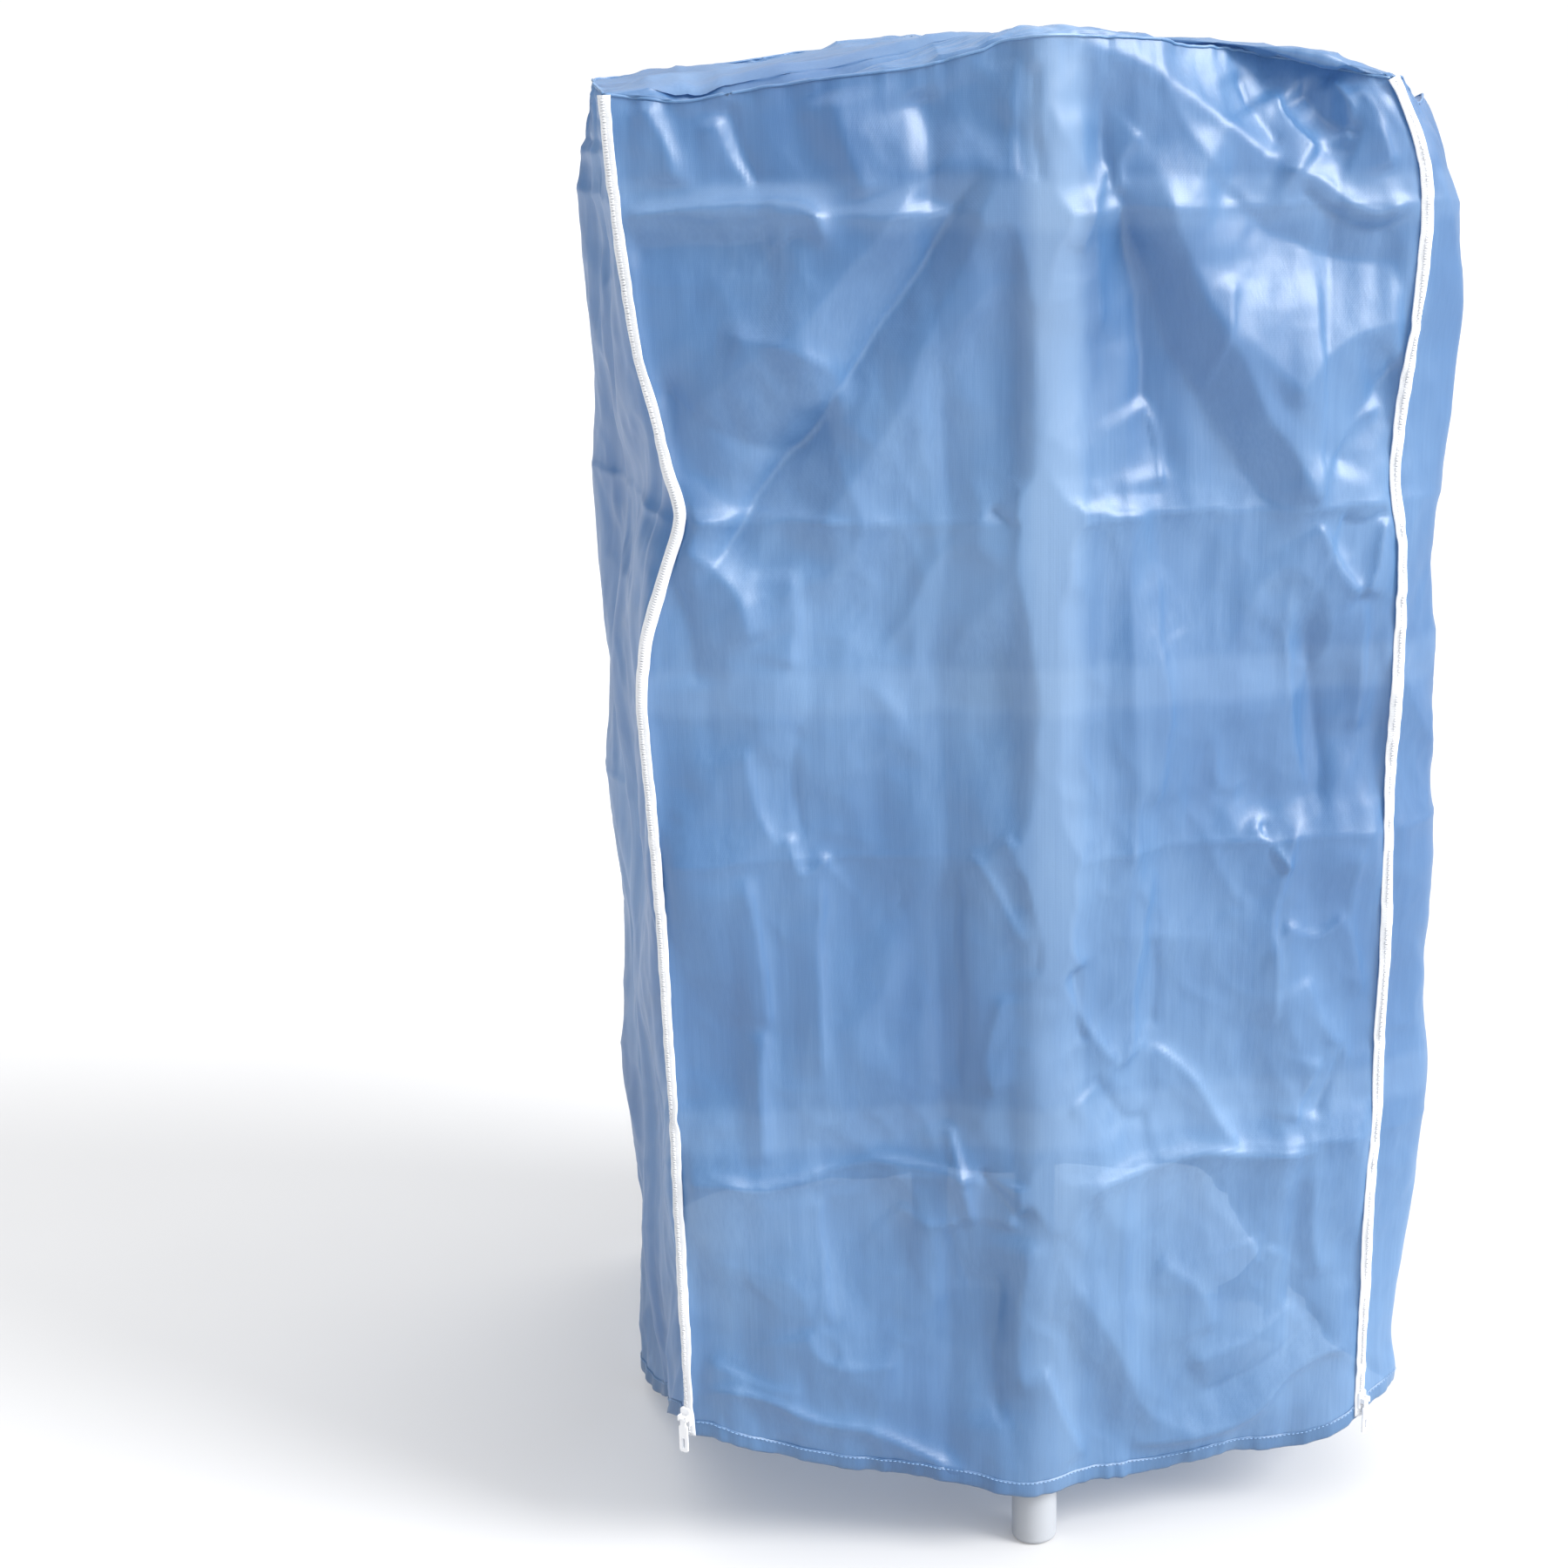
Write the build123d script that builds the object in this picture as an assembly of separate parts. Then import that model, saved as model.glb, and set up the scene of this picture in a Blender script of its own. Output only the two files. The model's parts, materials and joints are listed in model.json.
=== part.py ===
from build123d import *
import math
import os

os.makedirs("parts", exist_ok=True)

# ---------------------------------------------------------------- dimensions
# millimetres, +Z up, origin on the floor at the middle of the footprint.
# X runs from the left side leg to the right one, -Y is the front.

# posts
POST_Y = 349.0          # post axis, front and back
POST_R = 18.0           # post tube, outside
POST_WALL = 1.2
POST_TOP = 1318.0
CUP_R = 21.0            # post foot cup
CUP_H = 62.0
CUP_FLOOR = 12.0
CAP_R = 19.5
CAP_TOP = 1335.0

# shelves
TIER_Z = (430.0, 822.0, 1214.0)
PIVOT_X = 50.0          # shelf hinge axis
LINK = 258.0            # hinge axis to outermost rod, and hub pin to leg pin
RAIL_H = 36.0
RAIL_Y0, RAIL_Y1 = 309.0, 327.0
RAIL_END = 320.0
RAIL_CORNER = 12.0
ROD_R = 5.0
ROD_WALL = 0.5
ROD_COUNT = 6
ROD_END = 306.0         # rods reach this far into the rail sockets
SOCKET_R = 9.0
SOCKET_Y = 300.0
PIN_R = 3.0
PIN_BORE = 3.05

# shelf brackets on the posts
BRK_H = 44.0
BRK_SLEEVE_R = 21.5
BRK_PLATE_X = 62.0
BRK_PLATE_Y0, BRK_PLATE_Y1 = 327.4, 332.0
BRK_BLOCK_X = 29.5

# side legs
LEG_X = 328.0
LEG_R = 10.0
LEG_WALL = 1.2
LEG_TOP = 1240.0
LEG_CAP_TOP = 1249.0
LEG_CUP_R = 12.5
LEG_CUP_H = 62.0
CLIP_BORE = 5.3

# base
ARM_Z = 52.0
ARM_R = 6.0
ARM_WALL = 1.0
EYE_R = 6.5
EYE_HALF = 6.4
LUG_IN = 6.8
HUB_R = 46.0
HUB_Z0, HUB_Z1 = 40.0, 61.0
HUB_COVER_Z = 66.0
BASE_PIN_R = 2.5
BASE_PIN_BORE = 2.55

# cover
FAB = 1.2               # panel thickness
HEM_T = 2.4             # hem, folded double
HEM_Z0, HEM_Z1 = 56.0, 80.0
ROOF_Z = 1340.0         # highest point, over the line between the posts
ROOF_FALL = 0.08        # fall of the top panel per mm away from that line
# inside of the cover in plan, right half, from the front ridge to the back one
PLAN = [(0.0, -373.5), (306.0, -343.0), (328.0, -325.0), (366.0, 0.0),
        (334.0, 332.0), (0.0, 373.5)]

OUTER_X = PIVOT_X + LINK
ROD_X = [PIVOT_X + LINK * i / (ROD_COUNT - 1) for i in range(ROD_COUNT)]


# ------------------------------------------------------------------- helpers
def box(x0, x1, y0, y1, z0, z1):
    return Pos((x0 + x1) / 2, (y0 + y1) / 2, (z0 + z1) / 2) * Box(abs(x1 - x0), abs(y1 - y0), abs(z1 - z0))


def rod_z(x, y, z0, z1, r):
    return Pos(x, y, (z0 + z1) / 2) * Cylinder(r, abs(z1 - z0))


def rod_y(x, z, y0, y1, r):
    return Pos(x, (y0 + y1) / 2, z) * Rot(90, 0, 0) * Cylinder(r, abs(y1 - y0))


def rod_x(y, z, x0, x1, r):
    return Pos((x0 + x1) / 2, y, z) * Rot(0, 90, 0) * Cylinder(r, abs(x1 - x0))


def to_back(s):
    return mirror(s, about=Plane.XZ)


def to_left(s):
    return mirror(s, about=Plane.YZ)


def one(s):
    found = s.solids()
    return found[0] if len(found) == 1 else Compound(children=list(found))


def group(items):
    out = []
    for s in items:
        out.extend(s.solids())
    return Compound(children=out)


def save(shape, node):
    export_step(shape, f"parts/{node}.step")


def slab_xz(points, y0, y1):
    """Polygon given in x and z, filled between two y values."""
    face = make_face(Polyline(*[(x, 0, z) for x, z in points], close=True))
    solid = extrude(face, amount=y1 - y0, dir=(0, 1, 0))
    return Pos(0, y0, 0) * solid


def slab_yz(points, x0, x1):
    face = make_face(Polyline(*[(0, y, z) for y, z in points], close=True))
    solid = extrude(face, amount=x1 - x0, dir=(1, 0, 0))
    return Pos(x0, 0, 0) * solid


def prism(points, z0, z1):
    face = make_face(Polyline(*[(x, y, 0) for x, y in points], close=True))
    return Pos(0, 0, z0) * extrude(face, amount=z1 - z0, dir=(0, 0, 1))


# --------------------------------------------------------------------- posts
post = rod_z(0, -POST_Y, CUP_FLOOR, POST_TOP, POST_R) - rod_z(0, -POST_Y, CUP_FLOOR, POST_TOP, POST_R - POST_WALL)
save(post, "post_front")
save(to_back(post), "post_back")

cup = rod_z(0, -POST_Y, 0, CUP_H, CUP_R)
cup = fillet(cup.edges().group_by(Axis.Z)[0], 5.0)
cup = fillet(cup.edges().group_by(Axis.Z)[-1], 1.6)
cup = cup - rod_z(0, -POST_Y, CUP_FLOOR, CUP_H + 1, POST_R)
save(cup, "post_foot_front")
save(to_back(cup), "post_foot_back")

cap = rod_z(0, -POST_Y, POST_TOP, CAP_TOP, CAP_R)
cap = fillet(cap.edges().group_by(Axis.Z)[-1], 6.0)
cap = cap + rod_z(0, -POST_Y, POST_TOP - 18, POST_TOP + 1, POST_R - POST_WALL)
save(cap, "post_cap_front")
save(to_back(cap), "post_cap_back")

# ------------------------------------------------------------------- hub
slot = box(41.5, 80, -LUG_IN, LUG_IN, 0, 200)
lug = box(30, 51, LUG_IN, 11.5, ARM_Z - 9, ARM_Z + 8) + rod_y(PIVOT_X, ARM_Z, LUG_IN, 11.5, 7.5)
lug = lug & box(20, 70, 0, 20, HUB_Z0, HUB_Z1 - 1)
hub = rod_z(0, 0, HUB_Z0, HUB_Z1, HUB_R)
hub = fillet(hub.edges().group_by(Axis.Z)[0], 3.0)
for sx in (1, -1):
    for sy in (1, -1):
        piece = lug
        if sy < 0:
            piece = to_back(piece)
        if sx < 0:
            piece = to_left(piece)
        hub = hub + piece
hub = hub - slot - to_left(slot)
for sx in (1, -1):
    hub = hub - rod_y(sx * PIVOT_X, ARM_Z, -13, 13, BASE_PIN_R)
hub = hub - rod_y(0, ARM_Z, -80, -34, ARM_R) - rod_y(0, ARM_Z, 34, 80, ARM_R)
screw_spots = [(32 * math.cos(math.radians(a)), 32 * math.sin(math.radians(a))) for a in (45, 135, 225, 315)]
for x, y in screw_spots:
    hub = hub - rod_z(x, y, HUB_Z1 - 10, HUB_Z1 + 1, 1.5)
save(hub, "hub_body")

disc = rod_z(0, 0, HUB_Z1, HUB_COVER_Z, HUB_R)
disc = fillet(disc.edges().group_by(Axis.Z)[-1], 2.5)
disc = disc - slot - to_left(slot)
for x, y in screw_spots:
    disc = disc - rod_z(x, y, HUB_Z1 - 1, HUB_COVER_Z + 1, 1.5) - rod_z(x, y, HUB_COVER_Z - 2.2, HUB_COVER_Z + 1, 3.4)
disc = disc - (rod_z(0, 0, HUB_COVER_Z - 1.2, HUB_COVER_Z + 1, 22) - rod_z(0, 0, HUB_COVER_Z - 1.2, HUB_COVER_Z + 1, 19))
save(disc, "hub_cover")

screws = []
for x, y in screw_spots:
    head = rod_z(x, y, HUB_COVER_Z - 2.2, HUB_COVER_Z - 0.6, 3.1) + rod_z(x, y, HUB_Z1 - 8, HUB_COVER_Z - 2.0, 1.5)
    head = head - box(x - 2.2, x + 2.2, y - 0.45, y + 0.45, HUB_COVER_Z - 1.5, HUB_COVER_Z)
    head = head - box(x - 0.45, x + 0.45, y - 2.2, y + 2.2, HUB_COVER_Z - 1.5, HUB_COVER_Z)
    screws.append(head)
save(group(screws), "hub_screws")

# ------------------------------------------------------- fixed base arms
arm_end = -(POST_Y - CUP_R)
arm_f = rod_y(0, ARM_Z, arm_end, -34, ARM_R) - rod_y(0, ARM_Z, arm_end, -34, ARM_R - ARM_WALL)
save(arm_f, "base_arm_front")
save(to_back(arm_f), "base_arm_back")

sleeve = rod_z(0, -POST_Y, CUP_H, 114, BRK_SLEEVE_R)
sleeve = fillet(sleeve.edges().group_by(Axis.Z)[-1], 1.2)
web = slab_yz([(-POST_Y + 12, 112), (-POST_Y + 25, 112), (-POST_Y + 42, 92), (-POST_Y + 62, 72),
               (-262, 60), (-262, 54), (-POST_Y + 25, 54), (-POST_Y + 25, 63), (-POST_Y + 12, 63)], -2.2, 2.2)
barrel = rod_y(0, ARM_Z, arm_end, -262, ARM_R + 3)
foot_brk = sleeve + web + barrel
foot_brk = foot_brk - rod_z(0, -POST_Y, 0, CUP_H, CUP_R) - rod_z(0, -POST_Y, CUP_H - 1, 120, POST_R)
foot_brk = foot_brk - rod_y(0, ARM_Z, arm_end - 1, -261, ARM_R)
save(foot_brk, "foot_bracket_front")
save(to_back(foot_brk), "foot_bracket_back")

# ------------------------------------------------------- shelf brackets
pins = []
for t, z in enumerate(TIER_Z, 1):
    h = BRK_H / 2
    sl = rod_z(0, -POST_Y, z - h, z + h, BRK_SLEEVE_R)
    plate = box(-BRK_PLATE_X, BRK_PLATE_X, -BRK_PLATE_Y1, -BRK_PLATE_Y0, z - h, z + h)
    plate = fillet(plate.edges().filter_by(Axis.Y), 8.0)
    block = box(-BRK_BLOCK_X, BRK_BLOCK_X, -BRK_PLATE_Y1 + 1, -RAIL_Y0, z - h, z + h)
    block = fillet(block.edges().filter_by(Axis.Y), 3.0)
    brk = sl + plate + block
    brk = brk + box(-58, 58, -BRK_PLATE_Y0 - 1, -315, z - h, z - RAIL_H / 2 - 0.4)
    brk = brk - rod_z(0, -POST_Y, z - h - 1, z + h + 1, POST_R)
    for sx in (1, -1):
        brk = brk - rod_y(sx * PIVOT_X, z, -340, -320, PIN_R)
        pin = rod_y(sx * PIVOT_X, z, -BRK_PLATE_Y1, -RAIL_Y0 - 1.6, PIN_R)
        pin = pin + rod_y(sx * PIVOT_X, z, -BRK_PLATE_Y1 - 2.2, -BRK_PLATE_Y1, 5.2)
        pins.append(pin)
        pins.append(to_back(pin))
    save(group([brk, to_back(brk)]), f"tier{t}_brackets")
for sx in (1, -1):
    pins.append(rod_y(sx * PIVOT_X, ARM_Z, -12.5, 12.5, BASE_PIN_R))
save(group(pins), "hinge_pins")


# ------------------------------------------------------------------- shelves
def rail(z):
    """Front rail of a right-hand shelf: round hinge end, softened outer end,
    a socket for every rod on its inner face."""
    h = RAIL_H / 2
    body = box(PIVOT_X, RAIL_END, -RAIL_Y1, -RAIL_Y0, z - h, z + h)
    ends = body.edges().filter_by(Axis.Y).group_by(Axis.X)[-1]
    body = fillet(ends, RAIL_CORNER)
    body = body + rod_y(PIVOT_X, z, -RAIL_Y1, -RAIL_Y0, h)
    rim = body.faces().sort_by(Axis.Y)[0].edges()
    body = fillet(rim, 2.0)
    # shallow channel along the outside
    ch = box(PIVOT_X + 30, RAIL_END - 22, -RAIL_Y1 - 1, -RAIL_Y1 + 1.2, z - 9, z + 9)
    ch = fillet(ch.edges().filter_by(Axis.Y), 8.5)
    body = body - ch
    for x in ROD_X:
        r = SOCKET_R
        body = body + rod_y(x, z, -RAIL_Y0 - 1, -SOCKET_Y, r)
    for x in ROD_X:
        body = body - rod_y(x, z, -ROD_END, 0, ROD_R)
    body = body - rod_y(PIVOT_X, z, -RAIL_Y1 - 1, -RAIL_Y0 - 1, PIN_BORE)
    return body


for t, z in enumerate(TIER_Z, 1):
    fr = rail(z)
    bk = to_back(fr)
    rods = []
    for x in ROD_X:
        rods.append(rod_y(x, z, -ROD_END, ROD_END, ROD_R) - rod_y(x, z, -ROD_END, ROD_END, ROD_R - ROD_WALL))
    save(fr, f"tier{t}_right_front_rail")
    save(bk, f"tier{t}_right_back_rail")
    save(group(rods), f"tier{t}_right_rods")
    save(to_left(fr), f"tier{t}_left_front_rail")
    save(to_left(bk), f"tier{t}_left_back_rail")
    save(group([to_left(r) for r in rods]), f"tier{t}_left_rods")

# ----------------------------------------------------------------- side legs
tube = rod_z(LEG_X, 0, 10, LEG_TOP, LEG_R) - rod_z(LEG_X, 0, 10, LEG_TOP, LEG_R - LEG_WALL)

lcap = rod_z(LEG_X, 0, LEG_TOP, LEG_CAP_TOP, LEG_R + 1)
lcap = fillet(lcap.edges().group_by(Axis.Z)[-1], 4.0)
lcap = lcap + rod_z(LEG_X, 0, LEG_TOP - 14, LEG_TOP + 1, LEG_R - LEG_WALL)

lcup = rod_z(LEG_X, 0, 0, LEG_CUP_H, LEG_CUP_R)
lcup = fillet(lcup.edges().group_by(Axis.Z)[0], 4.0)
ears = box(OUTER_X, LEG_X, -11, 11, ARM_Z - 8, ARM_Z + 7) + rod_y(OUTER_X, ARM_Z, -11, 11, 7.0)
ears = ears & box(OUTER_X - 8, LEG_X, -20, 20, ARM_Z - 8, ARM_Z + 7)
lcup = lcup + ears
lcup = lcup - box(OUTER_X - 20, LEG_X - LEG_CUP_R, -LUG_IN, LUG_IN, -10, 100)
lcup = lcup - rod_z(LEG_X, 0, 10, LEG_CUP_H + 1, LEG_R)
lcup = lcup + rod_y(OUTER_X, ARM_Z, -12.5, 12.5, BASE_PIN_R)

gs = rod_z(LEG_X, 0, LEG_CUP_H, 122, LEG_R + 3)
gs = fillet(gs.edges().group_by(Axis.Z)[-1], 1.0)
gus = slab_xz([(LEG_X - 6, 118), (LEG_X - 14, 118), (LEG_X - 24, 96), (LEG_X - 42, 76), (LEG_X - 64, 65),
               (LEG_X - 64, 59.2), (LEG_X - LEG_CUP_R - 0.3, 59.2), (LEG_X - LEG_CUP_R - 0.3, 63), (LEG_X - 6, 63)], -2.2, 2.2)
gs = gs + gus - rod_z(LEG_X, 0, 0, 130, LEG_R)

clips = []
for z in TIER_Z:
    c = rod_z(LEG_X, 0, z - 11, z + 11, LEG_R + 3)
    c = c + box(OUTER_X, LEG_X - 6, -12, 12, z - 9, z + 9) + rod_y(OUTER_X, z, -12, 12, 9)
    c = c - rod_z(LEG_X, 0, z - 20, z + 20, LEG_R) - rod_y(OUTER_X, z, -20, 20, CLIP_BORE)
    clips.append(c)

for side in ("right", "left"):
    f = (lambda s: s) if side == "right" else to_left
    save(f(tube), f"leg_{side}_tube")
    save(f(lcap), f"leg_{side}_cap")
    save(f(lcup), f"leg_{side}_foot")
    save(f(gs), f"leg_{side}_gusset")
    save(group([f(c) for c in clips]), f"leg_{side}_clips")

# -------------------------------------------------------------- folding arms
sarm = rod_x(0, ARM_Z, PIVOT_X, OUTER_X, ARM_R)
sarm = sarm + rod_y(PIVOT_X, ARM_Z, -EYE_HALF, EYE_HALF, EYE_R) + rod_y(OUTER_X, ARM_Z, -EYE_HALF, EYE_HALF, EYE_R)
sarm = sarm - rod_x(0, ARM_Z, PIVOT_X + 14, OUTER_X - 14, ARM_R - ARM_WALL)
sarm = sarm - rod_y(PIVOT_X, ARM_Z, -20, 20, BASE_PIN_BORE) - rod_y(OUTER_X, ARM_Z, -20, 20, BASE_PIN_BORE)
save(sarm, "arm_right")
save(to_left(sarm), "arm_left")


# --------------------------------------------------------------------- cover
def offset(points, d):
    """Outer line of the plan, d outside the inner one, mitred at the corners."""
    full = points + [(-x, y) for x, y in reversed(points[1:-1])]
    n = len(full)
    out = []
    for i in range(n):
        p0, p1, p2 = full[i - 1], full[i], full[(i + 1) % n]
        a = (p1[0] - p0[0], p1[1] - p0[1])
        b = (p2[0] - p1[0], p2[1] - p1[1])
        la, lb = math.hypot(*a), math.hypot(*b)
        na = (a[1] / la, -a[0] / la)
        nb = (b[1] / lb, -b[0] / lb)
        m = (na[0] + nb[0], na[1] + nb[1])
        k = d / (1 + na[0] * nb[0] + na[1] * nb[1])
        out.append((p1[0] + m[0] * k, p1[1] + m[1] * k))
    return out[:len(points)]


OUT_PANEL = offset(PLAN, FAB)
OUT_HEM = offset(PLAN, HEM_T)
fall = math.degrees(math.atan(ROOF_FALL))
above = Pos(0, 0, ROOF_Z - FAB) * Rot(0, fall, 0) * Pos(0, 0, 500) * Box(3000, 3000, 1000)
roof_slab = Pos(0, 0, ROOF_Z - FAB) * Rot(0, fall, 0) * Pos(0, 0, FAB / 2) * Box(3000, 3000, FAB)


def strip(i, outer, z0, z1, cut=True):
    s = prism([PLAN[i], PLAN[i + 1], outer[i + 1], outer[i]], z0, z1)
    if cut:
        s = s - above
    return s


front_r = strip(0, OUT_PANEL, HEM_Z1, 1400)
zip_r = strip(1, OUT_PANEL, HEM_Z0, 1400)
side_r = [strip(2, OUT_PANEL, HEM_Z1, 1400), strip(3, OUT_PANEL, HEM_Z1, 1400)]
back_r = strip(4, OUT_PANEL, HEM_Z1, 1400)
top_r = prism([(0, OUT_PANEL[0][1])] + OUT_PANEL[1:-1] + [(0, OUT_PANEL[-1][1])], 1200, 1400) & roof_slab
save(group([front_r, to_left(front_r)]), "cover_front_panel")
save(group([back_r, to_left(back_r)]), "cover_back_panel")
save(group(side_r), "cover_right_panel")
save(group([to_left(s) for s in side_r]), "cover_left_panel")
save(group([top_r, to_left(top_r)]), "cover_top_panel")
save(zip_r, "cover_zip_right")
save(to_left(zip_r), "cover_zip_left")
hems = [strip(i, OUT_HEM, HEM_Z0, HEM_Z1, False) for i in (0, 2, 3, 4)]
save(group(hems + [to_left(s) for s in hems]), "cover_hem")

# ------------------------------------------------------------ zip sliders
# local frame of the right-hand zip: t along the strip in plan, n outwards
(ax, ay), (bx, by) = OUT_PANEL[1], OUT_PANEL[2]
tl = math.hypot(bx - ax, by - ay)
tx, ty = (bx - ax) / tl, (by - ay) / tl
zip_plane = Plane(origin=((ax + bx) / 2, (ay + by) / 2, 0), x_dir=(tx, ty, 0), z_dir=(0, 0, 1))
# in this plane x runs along t and y points inwards, so outwards is -y
SLIDER_Z = {"right": 107.0, "left": 150.0}   # the left zip ends higher
SL_Z = 0.0
BAIL_N = 8.2
body = box(-5.5, 5.5, -4.9, -1.8, SL_Z - 10, SL_Z + 9)
body = fillet(body.edges().filter_by(Axis.Y), 3.0)
body = fillet(body.faces().sort_by(Axis.Y)[0].edges(), 0.8)
cheek = box(3.2, 4.8, -BAIL_N - 1.8, -4.0, SL_Z - 2.5, SL_Z + 2.5)
body = body + cheek + to_left(cheek) + rod_x(-BAIL_N, SL_Z, -4.0, 4.0, 1.2)
pull = rod_x(-BAIL_N, SL_Z, -2.8, 2.8, 2.5) + box(-2.8, 2.8, -BAIL_N - 0.9, -BAIL_N + 0.9, SL_Z - 12, SL_Z)
tab = box(-4.5, 4.5, -BAIL_N - 0.9, -BAIL_N + 0.9, SL_Z - 34, SL_Z - 7)
tab = fillet(tab.edges().filter_by(Axis.Y), 2.4)
pull = pull + tab - box(-1.6, 1.6, -BAIL_N - 3, -BAIL_N + 3, SL_Z - 30, SL_Z - 20)
pull = pull - rod_x(-BAIL_N, SL_Z, -6, 6, 1.25)
slider_r = zip_plane.location * body
pull_r = zip_plane.location * pull
save(Pos(0, 0, SLIDER_Z["right"]) * slider_r, "zip_slider_right")
save(Pos(0, 0, SLIDER_Z["left"]) * to_left(slider_r), "zip_slider_left")
save(Pos(0, 0, SLIDER_Z["right"]) * pull_r, "zip_pull_right")
save(Pos(0, 0, SLIDER_Z["left"]) * to_left(pull_r), "zip_pull_left")
print("zip t", tx, ty, "bail", ((ax + bx) / 2 + ty * BAIL_N, (ay + by) / 2 - tx * BAIL_N, SL_Z))
print("plan out", OUT_PANEL)
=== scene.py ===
import json, math, random
import time
import bpy, bmesh
import numpy as np
from mathutils import Vector, Matrix


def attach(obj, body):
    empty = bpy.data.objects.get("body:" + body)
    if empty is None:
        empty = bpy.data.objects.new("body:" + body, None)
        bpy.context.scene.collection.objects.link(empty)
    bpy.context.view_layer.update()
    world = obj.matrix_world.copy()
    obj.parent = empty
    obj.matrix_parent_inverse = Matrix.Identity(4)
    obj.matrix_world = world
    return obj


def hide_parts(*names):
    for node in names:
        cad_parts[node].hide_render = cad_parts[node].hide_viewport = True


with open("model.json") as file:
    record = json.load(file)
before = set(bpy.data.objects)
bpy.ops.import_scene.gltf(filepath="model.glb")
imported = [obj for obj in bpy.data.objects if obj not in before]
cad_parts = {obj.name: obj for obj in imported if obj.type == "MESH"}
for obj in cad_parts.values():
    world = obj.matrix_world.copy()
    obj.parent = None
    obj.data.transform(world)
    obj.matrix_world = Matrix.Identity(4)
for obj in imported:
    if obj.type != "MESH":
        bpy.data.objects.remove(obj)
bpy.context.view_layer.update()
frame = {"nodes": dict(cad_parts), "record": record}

rng = np.random.default_rng(7)
random.seed(7)
sc = bpy.context.scene
sc.view_settings.view_transform = "Standard"
sc.view_settings.look = "None"

WORLD_LIGHT = 0.86
SUN = 3.4

# ------------------------------------------------------------------ camera
CAM = (-0.38789, -2.49695, 1.3328)
YAW, PITCH = -10.082, 18.755
F, CX, CY = 3033.05, 1180.0, 1080.0
cd = bpy.data.cameras.new("camera")
cam = bpy.data.objects.new("camera", cd)
sc.collection.objects.link(cam)
cam.location = CAM
cam.rotation_euler = (math.radians(90 - PITCH), 0, math.radians(YAW))
cd.sensor_width = 36.0
cd.lens = 36.0 * F / 1800.0
cd.shift_x = (900 - CX) / 1800.0
cd.shift_y = (CY - 900) / 1800.0
cd.clip_end = 60
sc.camera = cam


# ------------------------------------------------------------ node helpers
class Mat:
    def __init__(self, name):
        self.m = bpy.data.materials.new(name)
        self.m.use_nodes = True
        self.t = self.m.node_tree
        self.t.nodes.clear()
        self.out = self.t.nodes.new("ShaderNodeOutputMaterial")

    def n(self, kind, **kw):
        node = self.t.nodes.new("ShaderNode" + kind)
        for k, v in kw.items():
            if k in node.bl_rna.properties:
                setattr(node, k, v)
            else:
                node.inputs[k.replace("_", " ")].default_value = v
        return node

    def l(self, a, b):
        self.t.links.new(a, b)

    def math(self, op, a, b=None, c=None):
        node = self.t.nodes.new("ShaderNodeMath")
        node.operation = op
        for i, v in enumerate((a, b, c)):
            if v is None:
                continue
            if isinstance(v, (int, float)):
                node.inputs[i].default_value = v
            else:
                self.l(v, node.inputs[i])
        return node.outputs[0]

    def ramp(self, fac, stops):
        node = self.t.nodes.new("ShaderNodeValToRGB")
        while len(node.color_ramp.elements) < len(stops):
            node.color_ramp.elements.new(0.5)
        for e, (p, c) in zip(node.color_ramp.elements, stops):
            e.position = p
            e.color = c if len(c) == 4 else (*c, 1)
        self.l(fac, node.inputs[0])
        return node.outputs[0]

    def noise(self, vec, scale, detail=3.0, rough=0.5, dist=0.0):
        node = self.n("TexNoise")
        node.inputs["Scale"].default_value = scale
        node.inputs["Detail"].default_value = detail
        node.inputs["Roughness"].default_value = rough
        node.inputs["Distortion"].default_value = dist
        if vec is not None:
            self.l(vec, node.inputs["Vector"])
        return node.outputs["Fac"]

    def mapped(self, scale=(1, 1, 1), rot=(0, 0, 0)):
        co = self.n("TexCoord")
        mp = self.n("Mapping")
        mp.inputs["Scale"].default_value = scale
        mp.inputs["Rotation"].default_value = rot
        self.l(co.outputs["Object"], mp.inputs["Vector"])
        return mp.outputs["Vector"]


def lin(r, g, b):
    f = lambda v: (v / 255 / 12.92) if v <= 10 else ((v / 255 + 0.055) / 1.055) ** 2.4
    return (f(r), f(g), f(b), 1.0)


def bump(M, height, strength, distance):
    b = M.n("Bump")
    b.inputs["Strength"].default_value = strength
    b.inputs["Distance"].default_value = distance
    M.l(height, b.inputs["Height"])
    return b.outputs["Normal"]


# --------------------------------------------------------------- materials
def aluminium():
    M = Mat("anodised_aluminium")
    v = M.mapped((260, 260, 1.6))
    streak = M.noise(v, 1.0, 4, 0.6)
    blotch = M.noise(M.mapped((6, 6, 2)), 1.0, 3, 0.5)
    p = M.n("BsdfPrincipled")
    M.l(M.ramp(streak, [(0.25, (0.46, 0.47, 0.48)), (0.75, (0.66, 0.67, 0.69))]), p.inputs["Base Color"])
    p.inputs["Metallic"].default_value = 1.0
    M.l(M.math("ADD", M.math("MULTIPLY", streak, 0.14), M.math("MULTIPLY_ADD", blotch, 0.10, 0.20)), p.inputs["Roughness"])
    M.l(bump(M, streak, 0.12, 0.0002), p.inputs["Normal"])
    M.l(p.outputs[0], M.out.inputs[0])
    return M.m


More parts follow.
